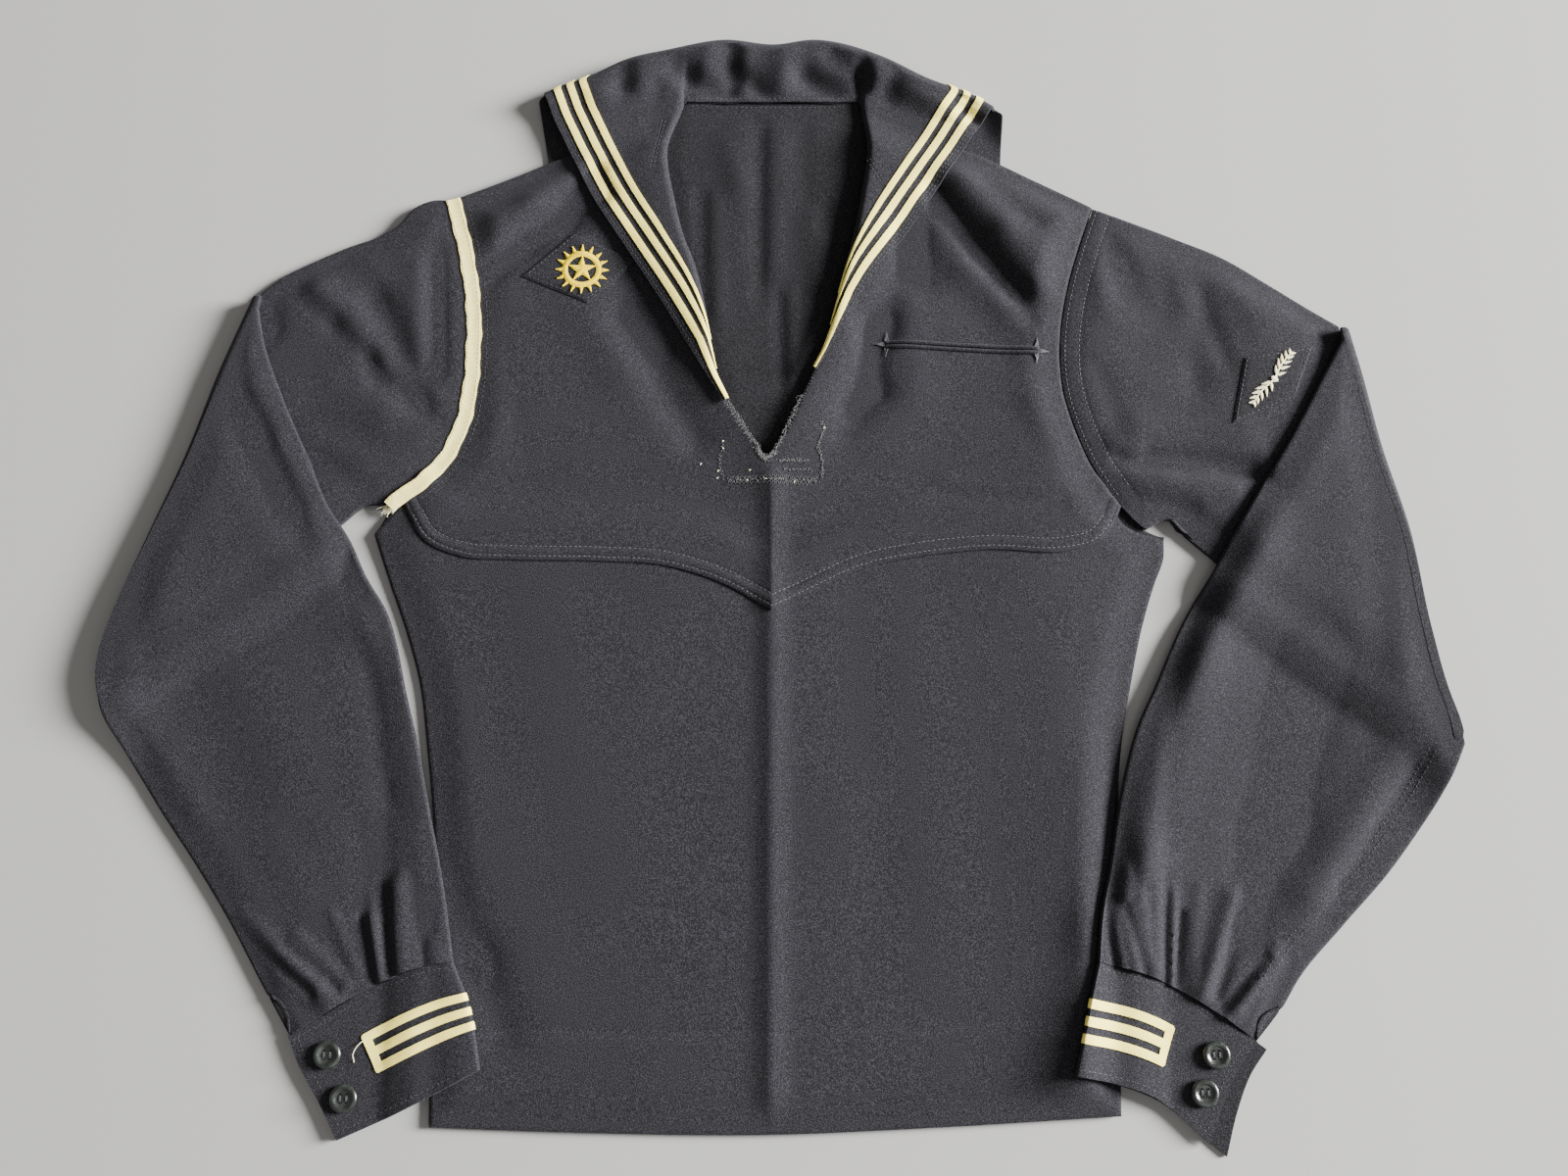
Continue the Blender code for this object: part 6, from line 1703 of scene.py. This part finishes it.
def make_sewing():
    """Sewing of the yoke, armholes and hem."""
    rows = [stitch_row(beside(YOKE_EDGE[2:-2], distance), yoke_surface, STITCH, 0.08)
            for distance in YOKE_SEWING]
    strands("yoke_edge_sewing", rows, 0.2, 0.06, PALE_THREAD)
    seam = along(ARMHOLE_LEFT, 0, YOKE_ROW, 60)
    rows = [stitch_row(beside(seam, distance)[:-2], LEFT_UPPER_TOP, HEM_STITCH, 0.10)
            for distance in ARMHOLE_SEWING]
    strands("left_armhole_sewing", rows, 0.2, 0.06, PALE_THREAD)
    seam = along(ARMHOLE_RIGHT, 0, YOKE_ROW, 60)
    rows = [stitch_row(beside(seam, 8.5)[:-2], yoke_surface, HEM_STITCH, 0.06)]
    hem = line(HEM, 60)[1:-1] + np.array([0.0, HEM_DEPTH])
    hem[:, 0] *= 0.985
    rows.append(stitch_row(hem, front_surface, HEM_STITCH, 0.03))
    strands("hem_sewing", rows, 0.15, 0.03, NAVY_THREAD)


def zigzag(points, half, pitch):
    """Stitches that cross a line from side to side."""
    points = np.asarray(points, float)
    at = np.arange(0.0, run_lengths(points)[-1], pitch)
    centre = at_lengths(points, at)
    side = np.where(np.arange(len(at)) % 2, half, -half)[:, None]
    corners = centre + side * (beside(centre, 1.0) - centre)
    corners = np.column_stack([corners, yoke_surface(*corners.T) + 0.15])
    return corners[:-1], corners[1:]


def fuzz(random, points, spots, reach):
    """Short loose fibres round a worn line."""
    start = line(points, spots) + random.normal(0.0, 0.55, (spots + 1, 2))
    turn = random.uniform(0.0, 2 * math.pi, spots + 1)
    length = reach * random.uniform(0.3, 1.0, spots + 1)
    end = start + length[:, None] * np.column_stack([np.cos(turn), np.sin(turn)])
    low = yoke_surface(*start.T) + 0.05
    return np.column_stack([start, low]), np.column_stack([end, low + random.uniform(0.0, 0.4, spots + 1)])


def make_mend():
    """The slash was mended below its point and oversewn along its raw edges."""
    rows = [zigzag(points, half, 1.25) for points, half in MEND_ROWS]
    strands("mended_slash_sewing", rows, 0.2, 0.12, NAVY_THREAD)
    random = np.random.default_rng(11)
    rows = []
    for place in MEND_KNOTS:
        for _ in range(4):
            turn = random.uniform(0.0, math.pi)
            reach = random.uniform(0.4, 1.0) * np.array([math.cos(turn), math.sin(turn)])
            ends = (place - reach, place + reach)
            rows.append([(*spot, height_at(yoke_surface, spot) + 0.2) for spot in ends])
    strands("mended_slash_knots", rows, 0.17, 0.3, CREAM_THREAD)
    rows = []
    for slash, tip, outward in ((SLASH_RIGHT, 6, -1), (SLASH_LEFT, 7, 1)):
        edge = along(slash, 3, tip, 120)
        aside = beside(edge, 1.0) - edge
        aside *= np.sign(aside[60, 0] * outward)
        pick = np.arange(2, len(edge) - 1, 3)
        wobble = random.uniform(0.6, 1.5, (len(pick), 1))
        start = edge[pick] - 0.15 * aside[pick]
        lean = ways_along(edge)[pick] * random.uniform(-0.8, 1.6, (len(pick), 1))
        end = edge[pick] + aside[pick] * 1.9 * wobble + lean
        height = yoke_surface(*(edge[pick] + 0.8 * aside[pick]).T)
        rows.append((np.column_stack([start, height - 0.7]), np.column_stack([end, height + 0.15])))
    for points, spots, reach in WORN_LINES:
        rows.append(fuzz(random, points, spots, reach))
    strands("slash_edge_sewing", rows, 0.17, 0.3, PALE_THREAD)


def make_loose_thread():
    """A loose end of thread at the bar of the right cuff's tape."""
    thread = bpy.data.curves.new("loose_thread", "CURVE")
    thread.dimensions = "3D"
    thread.bevel_depth = 0.00022
    thread.bevel_resolution = 2
    thread.use_fill_caps = True
    spline = thread.splines.new("POLY")
    points = line(LOOSE_THREAD, 22)
    spline.points.add(len(points) - 1)
    height = cuff_top(*points.T) + 0.6 + 1.6 * np.sin(np.linspace(0.0, math.pi, len(points)))
    for point, (x, y), z in zip(spline.points, points, height):
        point.co = (0.001 * x, 0.001 * y, 0.001 * z, 1.0)
    mesh = baked(linked("loose_thread", thread))
    mesh.shade_smooth()
    placed("right_cuff_loose_thread", mesh, CREAM_THREAD)


make_body()
make_collar()
sew_sleeves(make_sleeves())
make_mend()
make_loose_thread()
make_cuffs()
make_shoulder_tape()
make_badges()
make_pocket()
make_sewing()


# ---- floor, lights and camera ----

def make_studio():
    """Pale floor, soft lights, and the camera leaning over the hem."""
    half, low = FLOOR_HALF, FLOOR_LOW
    floor_mesh = bpy.data.meshes.new("floor")
    floor_mesh.from_pydata([(-half, -half, low), (half, -half, low), (half, half, low), (-half, half, low)],
                           [], [(0, 1, 2, 3)])
    floor = linked("floor", floor_mesh)
    finish = Finish("pale_floor", (0.315, 0.311, 0.301), 0.85)
    finish.give("Specular IOR Level", 0.2)
    floor_mesh.materials.append(finish.material)
    world = bpy.context.scene.world or bpy.data.worlds.new("studio")
    bpy.context.scene.world = world
    world.use_nodes = True
    sky = world.node_tree.nodes["Background"]
    sky.inputs["Color"].default_value = (1.0, 0.985, 0.96, 1.0)
    sky.inputs["Strength"].default_value = 0.36
    for name, place, size, power in LIGHTS:
        light = bpy.data.lights.new(name, "AREA")
        light.shape = "DISK"
        light.size = size
        light.energy = power
        holder = linked(name, light)
        holder.location = place
        holder.rotation_euler = (-Vector(place)).to_track_quat("-Z", "Y").to_euler()
    camera = linked("camera", bpy.data.cameras.new("camera"))
    camera.location = CAMERA_PLACE
    camera.rotation_euler = (CAMERA_TILT, 0.0, 0.0)
    camera.data.lens = 35.0
    camera.data.sensor_width = 36.0
    camera.data.clip_start = 0.01
    bpy.context.scene.camera = camera


make_studio()
